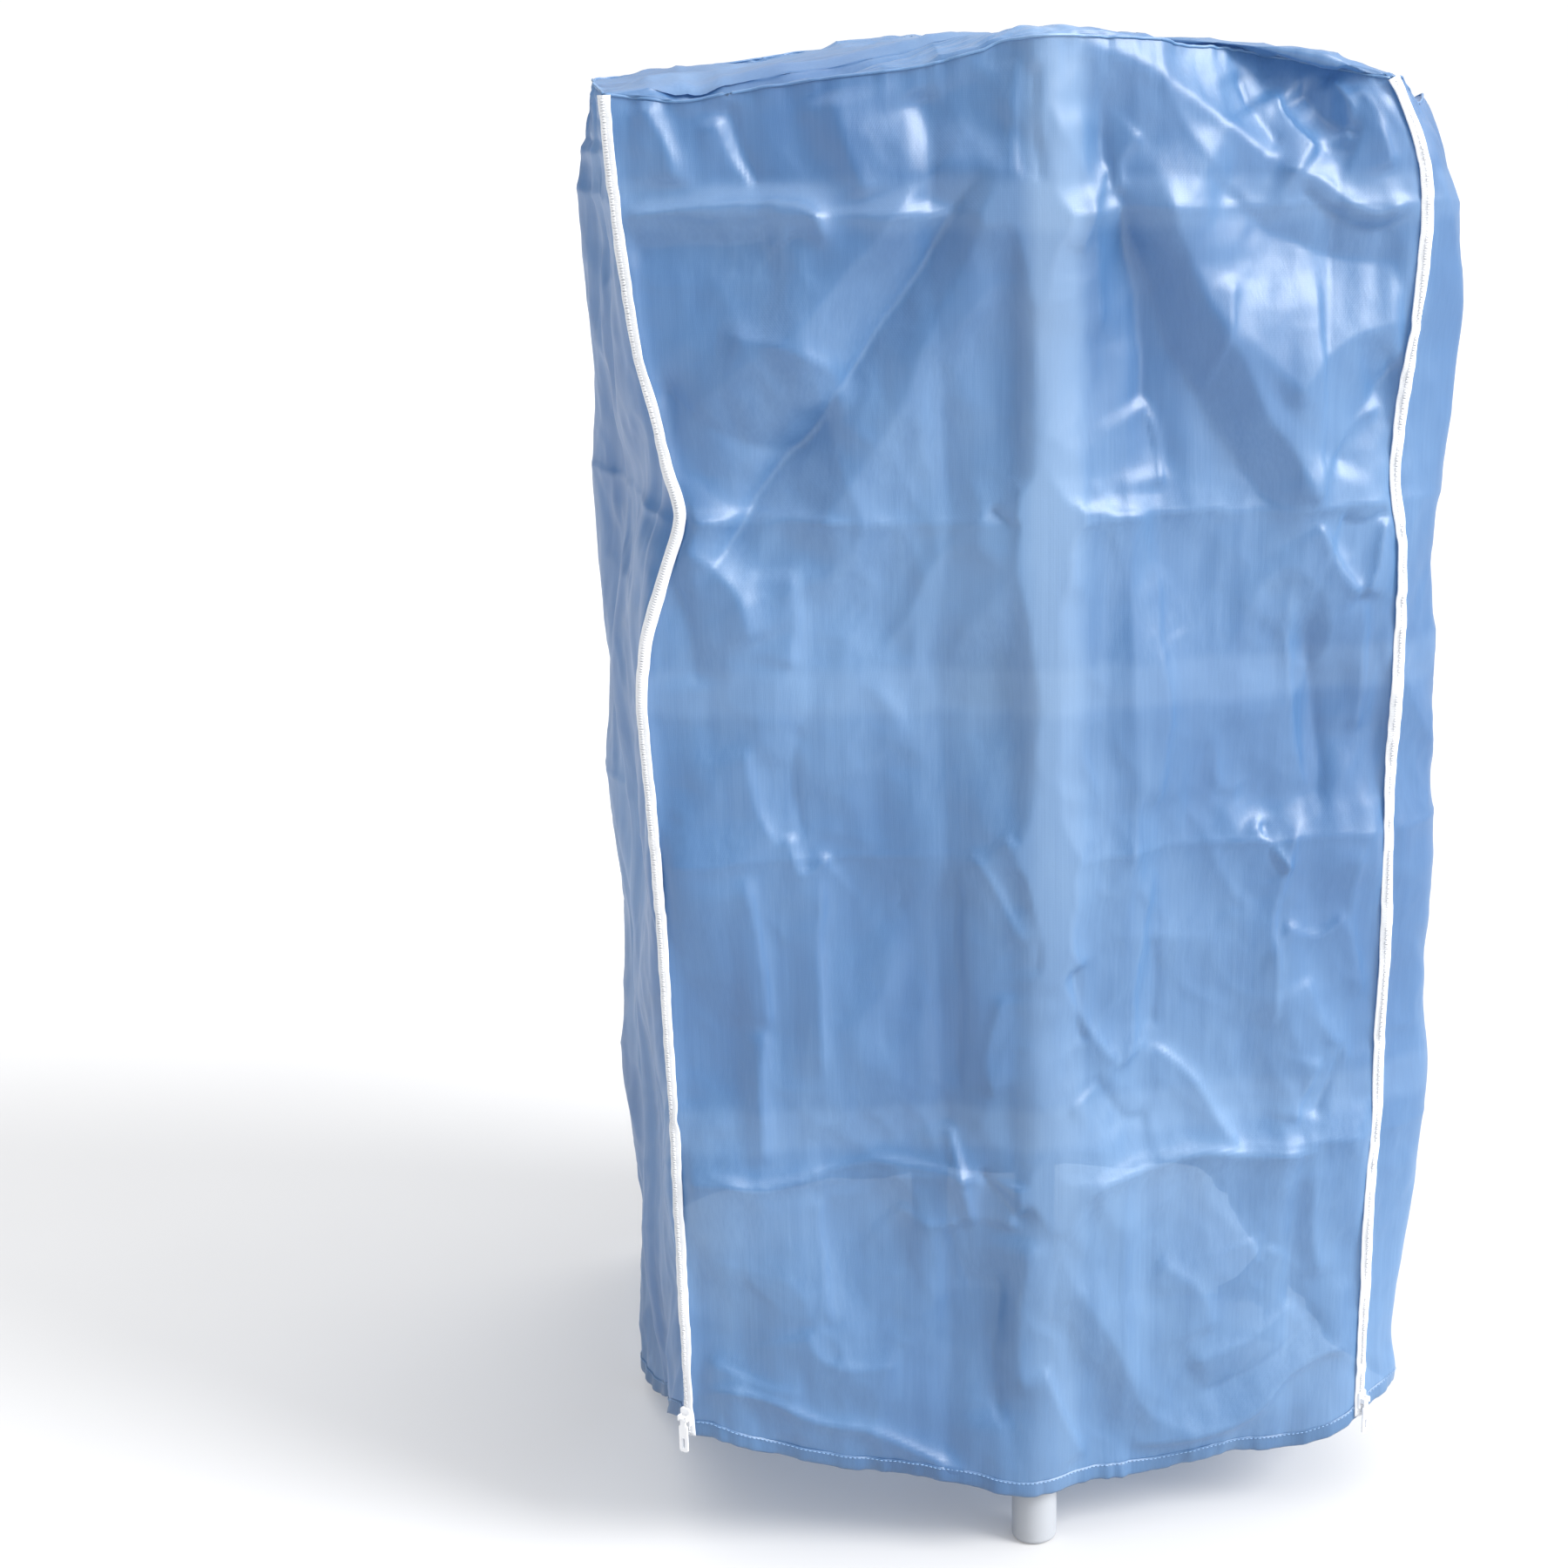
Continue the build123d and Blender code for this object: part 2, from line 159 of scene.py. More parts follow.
def plastic(name, col, rough, grain, depth, wear=0.06, coat=0.0):
    M = Mat(name)
    v = M.mapped((1, 1, 1))
    big = M.noise(v, 9, 3, 0.5)
    fine = M.noise(v, grain, 2, 0.5)
    p = M.n("BsdfPrincipled")
    c0 = tuple(max(0, x * (1 - wear)) for x in col[:3])
    c1 = tuple(min(1, x * (1 + wear * 0.6)) for x in col[:3])
    M.l(M.ramp(big, [(0.3, c0), (0.7, c1)]), p.inputs["Base Color"])
    M.l(M.math("MULTIPLY_ADD", fine, 0.12, rough - 0.06), p.inputs["Roughness"])
    p.inputs["Coat Weight"].default_value = coat
    p.inputs["Subsurface Weight"].default_value = 0.0
    M.l(bump(M, fine, depth, 0.00025), p.inputs["Normal"])
    M.l(p.outputs[0], M.out.inputs[0])
    return M.m


def steel(name):
    M = Mat(name)
    s = M.noise(M.mapped((900, 900, 900)), 1.0, 2, 0.6)
    p = M.n("BsdfPrincipled")
    p.inputs["Metallic"].default_value = 1.0
    M.l(M.ramp(s, [(0.3, (0.50, 0.50, 0.51)), (0.7, (0.68, 0.68, 0.69))]), p.inputs["Base Color"])
    M.l(M.math("MULTIPLY_ADD", s, 0.2, 0.22), p.inputs["Roughness"])
    M.l(bump(M, s, 0.08, 0.0001), p.inputs["Normal"])
    M.l(p.outputs[0], M.out.inputs[0])
    return M.m


def nylon(name, tint=1.0, see=0.09, trans=0.20):
    """Light-blue satin nylon: fine upright ribs, slight shade changes,
    soft sheen, light through it and a faint view of what is behind,
    and a painted lighter band over the post and rails."""
    M = Mat(name)
    # threads: warp stands out, weft is finer. Object space, in metres.
    co = M.n("TexCoord")
    sep = M.n("SeparateXYZ")
    M.l(co.outputs["Object"], sep.inputs[0])
    round_it = M.math("ADD", sep.outputs[0], M.math("MULTIPLY", sep.outputs[1], 0.87))
    warp = M.math("SINE", M.math("MULTIPLY", round_it, 2 * math.pi / 0.0011))
    weft = M.math("SINE", M.math("MULTIPLY", sep.outputs[2], 2 * math.pi / 0.0013))
    weave = M.math("ADD", M.math("MULTIPLY", warp, 0.6), M.math("MULTIPLY", weft, 0.4))
    slub = M.noise(M.mapped((420, 420, 9)), 1.0, 3, 0.55)
    slub2 = M.noise(M.mapped((60, 60, 2.0)), 1.0, 3, 0.5)
    cloud = M.noise(M.mapped((3.2, 3.2, 2.2)), 1.0, 4, 0.55)
    tone = M.math("ADD", M.math("MULTIPLY", slub, 0.14), M.math("ADD", M.math("MULTIPLY", slub2, 0.12), M.math("MULTIPLY", cloud, 0.74)))
    a, b, c = lin(50 * tint, 100 * tint, 150 * tint), lin(71 * tint, 118 * tint, 165 * tint), lin(98 * tint, 140 * tint, 183 * tint)
    col = M.ramp(tone, [(0.37, a), (0.5, b), (0.63, c)])
    edge = M.math("MULTIPLY_ADD", M.noise(M.mapped((22, 22, 9)), 1.0, 3, 0.6), 0.016, -0.008)

    def near(value, centre, lo, hi):
        d = M.math("ABSOLUTE", M.math("ADD", M.math("SUBTRACT", value, centre), edge))
        mr = M.n("MapRange")
        mr.interpolation_type = "SMOOTHSTEP"
        mr.inputs["From Min"].default_value = lo
        mr.inputs["From Max"].default_value = hi
        mr.inputs["To Min"].default_value = 1.0
        mr.inputs["To Max"].default_value = 0.0
        M.l(d, mr.inputs["Value"])
        return mr.outputs[0]

    # painted light: over the post (brighter higher up) and faintly along the three rails, the cloth colour is mixed
    # towards a lighter blue, standing in for the bright post and rails showing through
    ay = M.math("ABSOLUTE", sep.outputs[1])
    face = M.math("GREATER_THAN", ay, 0.30)
    high = M.n("MapRange")
    high.interpolation_type = "SMOOTHSTEP"
    high.inputs["From Min"].default_value = 0.45
    high.inputs["From Max"].default_value = 1.15
    high.inputs["To Min"].default_value = 0.22
    high.inputs["To Max"].default_value = 0.50
    M.l(sep.outputs[2], high.inputs["Value"])
    post_light_band = M.math("MULTIPLY", M.math("MULTIPLY", near(sep.outputs[0], 0.011, 0.012, 0.036), high.outputs[0]), face)
    rails = near(sep.outputs[2], 0.430, 0.012, 0.026)
    for zt in (0.822, 1.214):
        rails = M.math("ADD", rails, near(sep.outputs[2], zt, 0.012, 0.026))
    rail_light_band = M.math("MULTIPLY", M.math("MULTIPLY", rails, 0.16), face)
    painted_light_band = M.math("MINIMUM", M.math("ADD", post_light_band, rail_light_band), 0.75)
    # mix the painted light band's lighter blue into the cloth colour
    lm = M.n("Mix")
    lm.data_type = "RGBA"
    M.l(painted_light_band, lm.inputs[0])
    M.l(col, lm.inputs[6])
    lm.inputs[7].default_value = lin(144, 176, 210)
    col = lm.outputs[2]
    fine = M.noise(M.mapped((55, 55, 30)), 1.0, 5, 0.62, 0.6)
    h = M.math("ADD", M.math("MULTIPLY", weave, 0.10), M.math("ADD", M.math("MULTIPLY", slub, 0.5), M.math("MULTIPLY", fine, 1.3)))
    nrm = bump(M, h, 0.30, 0.0008)
    p = M.n("BsdfPrincipled")
    M.l(col, p.inputs["Base Color"])
    M.l(M.math("MULTIPLY_ADD", cloud, 0.14, 0.38), p.inputs["Roughness"])
    p.inputs["Specular IOR Level"].default_value = 1.0
    p.inputs["Coat Weight"].default_value = 0.5
    p.inputs["Coat Roughness"].default_value = 0.48
    p.inputs["Coat IOR"].default_value = 1.6
    p.inputs["Sheen Weight"].default_value = 0.2
    p.inputs["Sheen Roughness"].default_value = 0.35
    p.inputs["Sheen Tint"].default_value = (0.75, 0.87, 1, 1)
    M.l(nrm, p.inputs["Normal"])
    tr = M.n("BsdfTranslucent")
    tr.inputs["Color"].default_value = lin(128, 172, 226)
    M.l(nrm, tr.inputs["Normal"])
    mx = M.n("MixShader")
    mx.inputs[0].default_value = trans
    M.l(p.outputs[0], mx.inputs[1])
    M.l(tr.outputs[0], mx.inputs[2])
    tp = M.n("BsdfTransparent")
    tp.inputs["Color"].default_value = (0.70, 0.84, 1.0, 1)
    m2 = M.n("MixShader")
    m2.inputs[0].default_value = see
    M.l(mx.outputs[0], m2.inputs[1])
    M.l(tp.outputs[0], m2.inputs[2])
    M.l(m2.outputs[0], M.out.inputs[0])
    return M.m


def tape_mat():
    M = Mat("zip_tape_white")
    co = M.n("TexCoord")
    sep = M.n("SeparateXYZ")
    M.l(co.outputs["Object"], sep.inputs[0])
    rib = M.math("SINE", M.math("MULTIPLY", sep.outputs[2], 2 * math.pi / 0.0012))
    grime = M.noise(M.mapped((30, 30, 12)), 1.0, 4, 0.6)
    p = M.n("BsdfPrincipled")
    M.l(M.ramp(grime, [(0.3, (0.74, 0.76, 0.79)), (0.7, (0.90, 0.91, 0.93))]), p.inputs["Base Color"])
    p.inputs["Roughness"].default_value = 0.62
    M.l(bump(M, rib, 0.35, 0.0003), p.inputs["Normal"])
    M.l(p.outputs[0], M.out.inputs[0])
    return M.m


MATS = {
    "aluminium": aluminium(),
    "white_plastic": plastic("white_moulding", (0.80, 0.82, 0.84), 0.36, 900, 0.10, 0.03, 0.1),
    "white_steel": plastic("white_powder_coat", (0.82, 0.83, 0.85), 0.28, 1400, 0.22, 0.02, 0.25),
    "grey_plastic": plastic("grey_moulding", (0.40, 0.42, 0.45), 0.46, 1200, 0.30, 0.05),
    "dark_plastic": plastic("dark_screws", (0.07, 0.07, 0.08), 0.4, 900, 0.2, 0.2),
    "pin_steel": steel("zinc_pins"),
    "zip_metal": plastic("white_lacquer", (0.84, 0.85, 0.87), 0.25, 700, 0.05, 0.03, 0.3),
}
NYLON = nylon("cover_nylon")
HEM = nylon("hem_nylon", 0.98, 0.02, 0.22)
SEAM = nylon("seam_nylon", 1.04, 0.0, 0.12)
TAPE = tape_mat()

slot_of = {s["node"]: s["material_slot"] for s in frame["record"]["subparts"]}
for name, ob in frame["nodes"].items():
    m = MATS.get(slot_of.get(name))
    if m is None:
        continue
    if not ob.material_slots:
        continue
    for s in ob.material_slots:
        s.link = "OBJECT"
        s.material = m


# ------------------------------------------------------------ cover: curves
def curve(points):
    a = np.array(sorted(points, key=lambda p: p[-1]), float)
    return a


def at(a, z, k=0):
    """Smooth value of column k of a curve at the heights z."""
    zs, v = a[:, -1], a[:, k]
    m = np.gradient(v, zs)
    i = np.clip(np.searchsorted(zs, z) - 1, 0, len(zs) - 2)
    h = zs[i + 1] - zs[i]
    t = np.clip((z - zs[i]) / h, 0, 1)
    return ((2 * t**3 - 3 * t**2 + 1) * v[i] + (t**3 - 2 * t**2 + t) * h * m[i]
            + (-2 * t**3 + 3 * t**2) * v[i + 1] + (t**3 - t**2) * h * m[i + 1])


# left and right zips: x and z, metres
ZL = curve([(-0.3356, 1.296), (-0.3335, 1.25), (-0.327, 1.17), (-0.317, 1.089), (-0.307, 1.048), (-0.299, 1.006),
            (-0.290, 0.9665), (-0.303, 0.928), (-0.3235, 0.862), (-0.3283, 0.819), (-0.326, 0.744), (-0.3222, 0.667),
            (-0.3205, 0.589), (-0.3195, 0.509), (-0.3180, 0.435), (-0.3175, 0.343), (-0.3170, 0.23), (-0.3165, 0.15),
            (-0.316, 0.1295), (-0.316, 0.05)])
ZR = curve([(0.297, 1.306), (0.311, 1.279), (0.325, 1.245), (0.3297, 1.2105), (0.3292, 1.162), (0.3221, 1.091),
            (0.3133, 1.019), (0.3122, 0.9745), (0.3194, 0.937), (0.3226, 0.869), (0.3223, 0.792), (0.3195, 0.713),
            (0.3215, 0.632), (0.3228, 0.55), (0.3208, 0.466), (0.3215, 0.397), (0.3185, 0.336), (0.318, 0.2465),
            (0.3175, 0.1555), (0.3172, 0.0856), (0.3172, 0.03)])
BR = curve([(0.300, 1.314), (0.3395, 1.278), (0.3609, 1.23), (0.3724, 1.159), (0.378, 1.123), (0.3748, 1.072),
            (0.3631, 0.968), (0.3647, 0.783), (0.3664, 0.62), (0.3764, 0.45), (0.3744, 0.318), (0.3546, 0.155),
            (0.362, 0.097), (0.345, 0.067), (0.34, 0.03)])
LL = curve([(-0.330, 1.2925), (-0.3363, 1.267), (-0.3461, 1.123), (-0.3444, 1.005), (-0.3425, 0.908), (-0.3425, 0.69),
            (-0.3455, 0.5226), (-0.3461, 0.385), (-0.3445, 0.243), (-0.340, 0.115), (-0.336, 0.05)])

Y_ZIP = -0.336
CELL = 0.0068
seg_len = [0.325, 0.325, 0.06, 0.30, 0.335, 0.33, 0.33, 0.335, 0.335]
seg_n = [max(4, int(round(l / CELL))) for l in seg_len]
NU = sum(seg_n)
key_at = np.concatenate([[0], np.cumsum(seg_n)])[:-1]          # column of each key
NV = 184                                                        # wall rows
NT = 34                                                         # top rows

rim_key = np.array([1.296, 1.3345, 1.306, 1.284, 1.300, 1.300, 1.3365, 1.296, 1.2925])
hem_key = np.array([0.131, 0.066, 0.089, 0.094, 0.050, 0.060, 0.066, 0.056, 0.022])


def around(vals, smooth=0):
    """Values at the keys spread over all columns."""
    out = np.empty(NU)
    for i, n in enumerate(seg_n):
        t = np.arange(n) / n
        a, b = vals[i], vals[(i + 1) % len(vals)]
        out[key_at[i]:key_at[i] + n] = a + (b - a) * t
    return out


def gauss(a, s, axis=0, wrap=True):
    if s <= 0:
        return a
    r = int(3 * s) + 1
    k = np.exp(-0.5 * (np.arange(-r, r + 1) / s) ** 2)
    k /= k.sum()
    out = np.zeros_like(a)
    for i, w in zip(range(-r, r + 1), k):
        if wrap:
            out += w * np.roll(a, i, axis)
        else:
            idx = np.clip(np.arange(a.shape[axis]) - i, 0, a.shape[axis] - 1)
            out += w * np.take(a, idx, axis)
    return out


# measured line of the front top seam and of the front hem: x, z
TOPF = [(-0.3356, 1.296), (-0.275, 1.290), (-0.211, 1.301), (-0.098, 1.314), (-0.05, 1.325), (-0.0157, 1.3335), (0.02, 1.335),
        (0.074, 1.333), (0.182, 1.328), (0.264, 1.313), (0.297, 1.306)]
HEMF = [(-0.316, 0.1295), (-0.30, 0.134), (-0.272, 0.124), (-0.233, 0.107), (-0.154, 0.089), (-0.1065, 0.0853), (-0.0224, 0.066),
        (0.0312, 0.0665), (0.116, 0.061), (0.168, 0.073), (0.247, 0.069), (0.29, 0.082), (0.3172, 0.0875)]

rim = around(rim_key)
hem = around(hem_key)
nf = seg_n[0] + seg_n[1]
xf = np.concatenate([np.linspace(-0.335, 0, seg_n[0], endpoint=False), np.linspace(0, 0.30, seg_n[1] + 1)])
rim[:nf + 1] = np.interp(xf, [p[0] for p in TOPF], [p[1] for p in TOPF])
xh = np.concatenate([np.linspace(-0.316, 0, seg_n[0], endpoint=False), np.linspace(0, 0.317, seg_n[1] + 1)])
hem[:nf + 1] = np.interp(xh, [p[0] for p in HEMF], [p[1] for p in HEMF])
hem[nf + 1:] += (0.006 * np.sin(np.arange(NU - nf - 1) * 0.11 + 1) + 0.004 * np.sin(np.arange(NU - nf - 1) * 0.31))
n23 = seg_n[2]
rim[key_at[2]:key_at[3] + 1] = np.interp(np.linspace(0, 1, n23 + 1), [0, 0.35, 0.7, 1], [1.306, 1.311, 1.300, 1.286])
rim[key_at[3]:key_at[3] + 12] = np.linspace(1.286, rim[key_at[3] + 12], 12, endpoint=False)
rim = gauss(rim, 1.2)
hem = gauss(hem, 1.5)

v = np.linspace(0, 1, NV)
Z = hem[None, :] + (rim - hem)[None, :] * v[:, None]            # NV x NU
KX, KY = np.zeros((9, NV, NU)), np.zeros((9, NV, NU))
KX[0], KY[0] = at(ZL, Z), Y_ZIP
KX[1], KY[1] = 0.0, -0.3765
KX[2], KY[2] = at(ZR, Z), Y_ZIP
KX[3], KY[3] = at(BR, Z) + 0.004, -0.297
KX[4], KY[4] = 0.352, 0.0
KX[5], KY[5] = 0.327, 0.334
KX[6], KY[6] = 0.0, 0.3765
KX[7], KY[7] = -0.325, 0.334
KX[8], KY[8] = np.where(Z < 1.25, np.minimum(at(LL, Z), -0.3450), at(LL, Z)), 0.0
X, Y = np.zeros((NV, NU)), np.zeros((NV, NU))
for i, n in enumerate(seg_n):
    j = np.arange(key_at[i], key_at[i] + n)
    t = (np.arange(n) / n)[None, :]
    k = (i + 1) % 9
    X[:, j] = KX[i][:, j] * (1 - t) + KX[k][:, j] * t
    Y[:, j] = KY[i][:, j] * (1 - t) + KY[k][:, j] * t
# round the turns a little, but not at the zips
Xs, Ys = gauss(X, 2.2, 1), gauss(Y, 2.2, 1)
keep = np.zeros(NU)
for k in (0, 2):
    d = np.abs((np.arange(NU) - key_at[k] + NU // 2) % NU - NU // 2)
    keep = np.maximum(keep, np.exp(-(d / 2.5) ** 2))
X = X * keep + Xs * (1 - keep)
Y = Y * keep + Ys * (1 - keep)
wall = np.stack([X, Y, Z], -1)

# the right shoulder: above this line the front leans back, and the top is puffed
SHX = [-0.05, 0.0, 0.05, 0.10, 0.15, 0.20, 0.25, 0.285, 0.33, 0.40]
SHZ = [1.345, 1.336, 1.322, 1.300, 1.272, 1.243, 1.238, 1.262, 1.30, 1.33]
nfr = np.arange(NU) <= key_at[2]
zs_ = np.interp(wall[..., 0], SHX, SHZ)
lean = np.interp(wall[..., 0], [0.0, 0.06, 0.12, 0.20, 0.25, 0.29, 0.30], [0, 0.25, 0.55, 0.62, 0.50, 0.12, 0.0])
over = np.maximum(0, wall[..., 2] - zs_)
over = np.sqrt(over ** 2 + 0.006 ** 2) - 0.006
wall[..., 1] += np.where(nfr[None, :], lean * over, 0)

# top: rows run from the rim in to the line between the posts
s = (np.arange(1, NT + 1) / NT)
rimp = wall[-1]
cy_ = np.clip(rimp[:, 1] * 0.93, -0.345, 0.345)
cen = np.stack([np.zeros(NU), cy_, 1.3415 - 0.011 * (1 - (cy_ / 0.345) ** 2)], -1)
e = s[:, None]
top = rimp[None] * (1 - e[..., None]) + cen[None] * e[..., None]
right = 1 / (1 + np.exp(-rimp[:, 0] / 0.04))
back = np.clip((rimp[:, 1] + 0.1) / 0.4, 0, 1)
power = 1.15 + 1.2 * right
lift = 1 - (1 - s[:, None]) ** power[None, :]
top[..., 2] = rimp[None, :, 2] + (cen[None, :, 2] - rimp[None, :, 2]) * lift
puff = np.exp(-((top[..., 0] - 0.245) / 0.085) ** 2) * np.exp(-((top[..., 1] + 0.02) / 0.26) ** 4)
top[..., 2] += 0.013 * puff * np.clip(s[:, None] / 0.2, 0, 1)
sagl = np.exp(-((top[..., 0] + 0.19) / 0.09) ** 2)
top[..., 2] -= 0.006 * sagl * np.clip(s[:, None] / 0.2, 0, 1)
grid = np.concatenate([wall, top], 0)                            # (NV+NT) x NU x 3
NR = NV + NT


def grid_faces(rows, cols, wrap):
    r = np.arange(rows - 1)[:, None]
    c = np.arange(cols if wrap else cols - 1)[None, :]
    a = r * cols + c
    b = r * cols + (c + 1) % cols
    return np.stack([a, b, b + cols, a + cols], -1).reshape(-1, 4)


def mesh_from(name, pts, faces, mats, smooth=True):
    me = bpy.data.meshes.new(name)
    me.from_pydata(np.asarray(pts, float).reshape(-1, 3).tolist(), [], np.asarray(faces).tolist() if not isinstance(faces, list) else faces)
    me.update()
    for m in mats:
        me.materials.append(m)
    if smooth:
        me.polygons.foreach_set("use_smooth", [True] * len(me.polygons))
    ob = bpy.data.objects.new(name, me)
    sc.collection.objects.link(ob)
    return ob


# ------------------------------------------- cover: position-based cloth
def settle(P, grow, free, steps, stiff, sink=0.0):
    """Cloth with slightly more length than its frame leaves it: edges pull
    to their length, far neighbours resist bending, so it buckles."""
    rows, cols = P.shape[:2]
    ref = P.copy()
    V = np.zeros_like(P)
    pairs = []
    for dr, dc, k in ((0, 1, 1.0), (1, 0, 1.0), (1, 1, 0.55), (1, -1, 0.55), (0, 2, stiff), (2, 0, stiff)):
        A = P[:rows - dr]
        B = np.roll(P, -dc, 1)[dr:]
        g = grow * (1.0 if dr == 0 else 0.18 if dc == 0 else 0.5)
        L = np.linalg.norm(B - A, axis=-1, keepdims=True) * (1 + g)
        pairs.append((dr, dc, k, L))
    for it in range(steps):
        Q = P + 0.86 * V
        Q[..., 2] -= sink
        start = P.copy()
        for rep in range(2):
            D = np.zeros_like(Q)
            for dr, dc, k, L in pairs:
                A = Q[:rows - dr]
                B = np.roll(Q, -dc, 1)[dr:]
                d = B - A
                n = np.linalg.norm(d, axis=-1, keepdims=True)
                c = 0.5 * k * (n - L) / np.maximum(n, 1e-9) * d
                if dr + abs(dc) == 2 and (dr == 0 or dc == 0):
                    c = np.where(n < L, c, 0)
                D[:rows - dr] += c
                D[dr:] -= np.roll(c, dc, 1)
            Q = Q + free[..., None] * D / 3.4
        V = Q - start
        P = Q
    return P


def crumpled(P, sizes, grow, steps, stiff, cap, seed):
    """Buckle the cloth at several sizes, largest first."""
    rows, cols = P.shape[:2]
    for lv, g, st_, cp in zip(sizes, grow, steps, cap):
        sub = P[::lv, ::lv]
        r2, c2 = sub.shape[:2]
        r = np.random.default_rng(seed + lv)
        free = np.ones((r2, c2))
        for k in (0, 2):
            j = int(round(key_at[k] / lv)) % c2
            free[:, j] = 0.0
        free[-max(1, 3 // lv):] = 0.15
        jr = min(r2 - 1, int(round((NV - 1) / lv)))
        for k in (0, 2):
            dc_ = np.abs((np.arange(c2) * lv - key_at[k] + NU // 2) % NU - NU // 2)
            near_ = np.exp(-(dc_ / 9.0) ** 2)[None, :] * np.exp(-((np.arange(r2) * lv - NV) / 10.0) ** 2)[:, None]
            free = free * (1 - 0.92 * near_)
        free[jr] = np.minimum(free[jr], 0.5)
        nn = normals(sub)
        start = sub + nn * (gauss(gauss(r.normal(0, 0.0016, (r2, c2)), 1.2, 1), 2.0, 0, False) * free)[..., None]
        out = settle(start, g, free, st_, stiff)
        d = out - sub
        if not np.isfinite(d).all():
            continue
        far = np.linalg.norm(d, axis=-1, keepdims=True)
        d = d * np.minimum(1, cp / np.maximum(far, 1e-9))
        print("settled", lv, "rms mm", float(1000 * np.sqrt((d ** 2).sum(-1).mean())), "max mm", float(1000 * far.max()))
        # carry the move back to every point
        ri = np.arange(rows) / lv
        ci = np.arange(cols) / lv
        i0 = np.clip(np.floor(ri).astype(int), 0, r2 - 1)
        i1 = np.clip(i0 + 1, 0, r2 - 1)
        fr = (ri - i0)[:, None, None]
        j0 = np.floor(ci).astype(int) % c2
        j1 = (j0 + 1) % c2
        span = np.ones(cols)
        last = (c2 - 1) * lv
        span = np.where(np.arange(cols) >= last, (np.arange(cols) - last) / (cols - last), ci - np.floor(ci))
        j0 = np.where(np.arange(cols) >= last, c2 - 1, j0)
        j1 = np.where(np.arange(cols) >= last, 0, j1)
        fc = span[None, :, None]
        if lv > 1:
            fr2, fc2 = fr * fr * (3 - 2 * fr) * 0.5 + fr * 0.5, fc * fc * (3 - 2 * fc) * 0.5 + fc * 0.5
        else:
            fr2, fc2 = fr, fc
        dd = (d[i0][:, j0] * (1 - fc2) + d[i0][:, j1] * fc2) * (1 - fr2) + (d[i1][:, j0] * (1 - fc2) + d[i1][:, j1] * fc2) * fr2
        P = P + dd
    return P


def normals(g):
    du = np.roll(g, -1, 1) - np.roll(g, 1, 1)
    dv = np.gradient(g, axis=0)
    n = np.cross(du, dv)
    return n / np.maximum(np.linalg.norm(n, axis=-1, keepdims=True), 1e-9)


# ------------------------------------------------ finer grid and sewn detail
def up2(a, axis, wrap):
    """Twice the points along an axis, on a smooth curve through them."""
    n = a.shape[axis]
    t = lambda i: np.take(a, (np.arange(n) + i) % n if wrap else np.clip(np.arange(n) + i, 0, n - 1), axis)
    mid = (-t(-1) + 9 * t(0) + 9 * t(1) - t(2)) / 16
    out = np.stack([a, mid], axis + 1)
    shp = list(a.shape)
    shp[axis] *= 2
    out = out.reshape(shp)
    if not wrap:
        out = np.take(out, np.arange(2 * n - 1), axis)
    return out


fine = up2(up2(grid, 1, True), 0, False)
FR, FU = fine.shape[:2]
FV = 2 * NV - 1                                                  # fine wall rows
base = up2(up2(grid, 1, True), 0, False)


def normals(g):
    du = np.roll(g, -1, 1) - np.roll(g, 1, 1)
    dv = np.gradient(g, axis=0)
    n = np.cross(du, dv)
    return n / np.maximum(np.linalg.norm(n, axis=-1, keepdims=True), 1e-9)


def value_noise(x, y, seed):
    """Smooth noise in -1..1 on plane coordinates, cell size 1."""
    def h(i, j):
        n = (i * 374761393 + j * 668265263 + seed * 1442695041) & 0x7FFFFFFF
        n = ((n ^ (n >> 13)) * 1274126177) & 0x7FFFFFFF
        return ((n ^ (n >> 16)) & 0xFFFF) / 32767.5 - 1
    xi, yi = np.floor(x).astype(np.int64), np.floor(y).astype(np.int64)
    fx, fy = x - xi, y - yi
    fx, fy = fx * fx * fx * (fx * (fx * 6 - 15) + 10), fy * fy * fy * (fy * (fy * 6 - 15) + 10)
    a = h(xi, yi) * (1 - fx) + h(xi + 1, yi) * fx
    b = h(xi, yi + 1) * (1 - fx) + h(xi + 1, yi + 1) * fx
    return a * (1 - fy) + b * fy


# arc length round the cover, zero at the left zip; S is per fine column
dist = np.linalg.norm(np.roll(base[FV // 2], -1, 0) - base[FV // 2], axis=-1)
S = np.concatenate([[0], np.cumsum(dist)[:-1]])
Sg = np.repeat(S[None, :], FV, 0)
Wx, Wy, Wz = base[:FV, :, 0], base[:FV, :, 1], base[:FV, :, 2]
off = np.zeros((FR, FU))
FK = 2 * key_at
front = np.zeros((FV, FU), bool)
front[:, :FK[2] + 1] = True


def crease_h(z0, a, wob=0.004, side=None, seed=1, w=0.006):
    line = z0 + wob * value_noise(Sg / 0.09, Sg * 0, seed)
    d = np.abs(Wz - line)
    amp = a * (0.55 + 0.45 * value_noise(Sg / 0.13, Sg * 0 + 3, seed + 5))
    return amp * np.exp(-d / w)


def crease_v(s0, a, z0=0.0, z1=1.4, wob=0.003, seed=1, w=0.005):
    line = s0 + wob * value_noise(Wz / 0.08, Wz * 0, seed)
    d = np.abs(Sg - line)
    amp = a * (0.5 + 0.5 * value_noise(Wz / 0.11, Wz * 0 + 7, seed + 9))
    gate = 1 / (1 + np.exp(-(Wz - z0) / 0.02)) / (1 + np.exp((Wz - z1) / 0.02))
    return amp * np.exp(-d / w) * gate


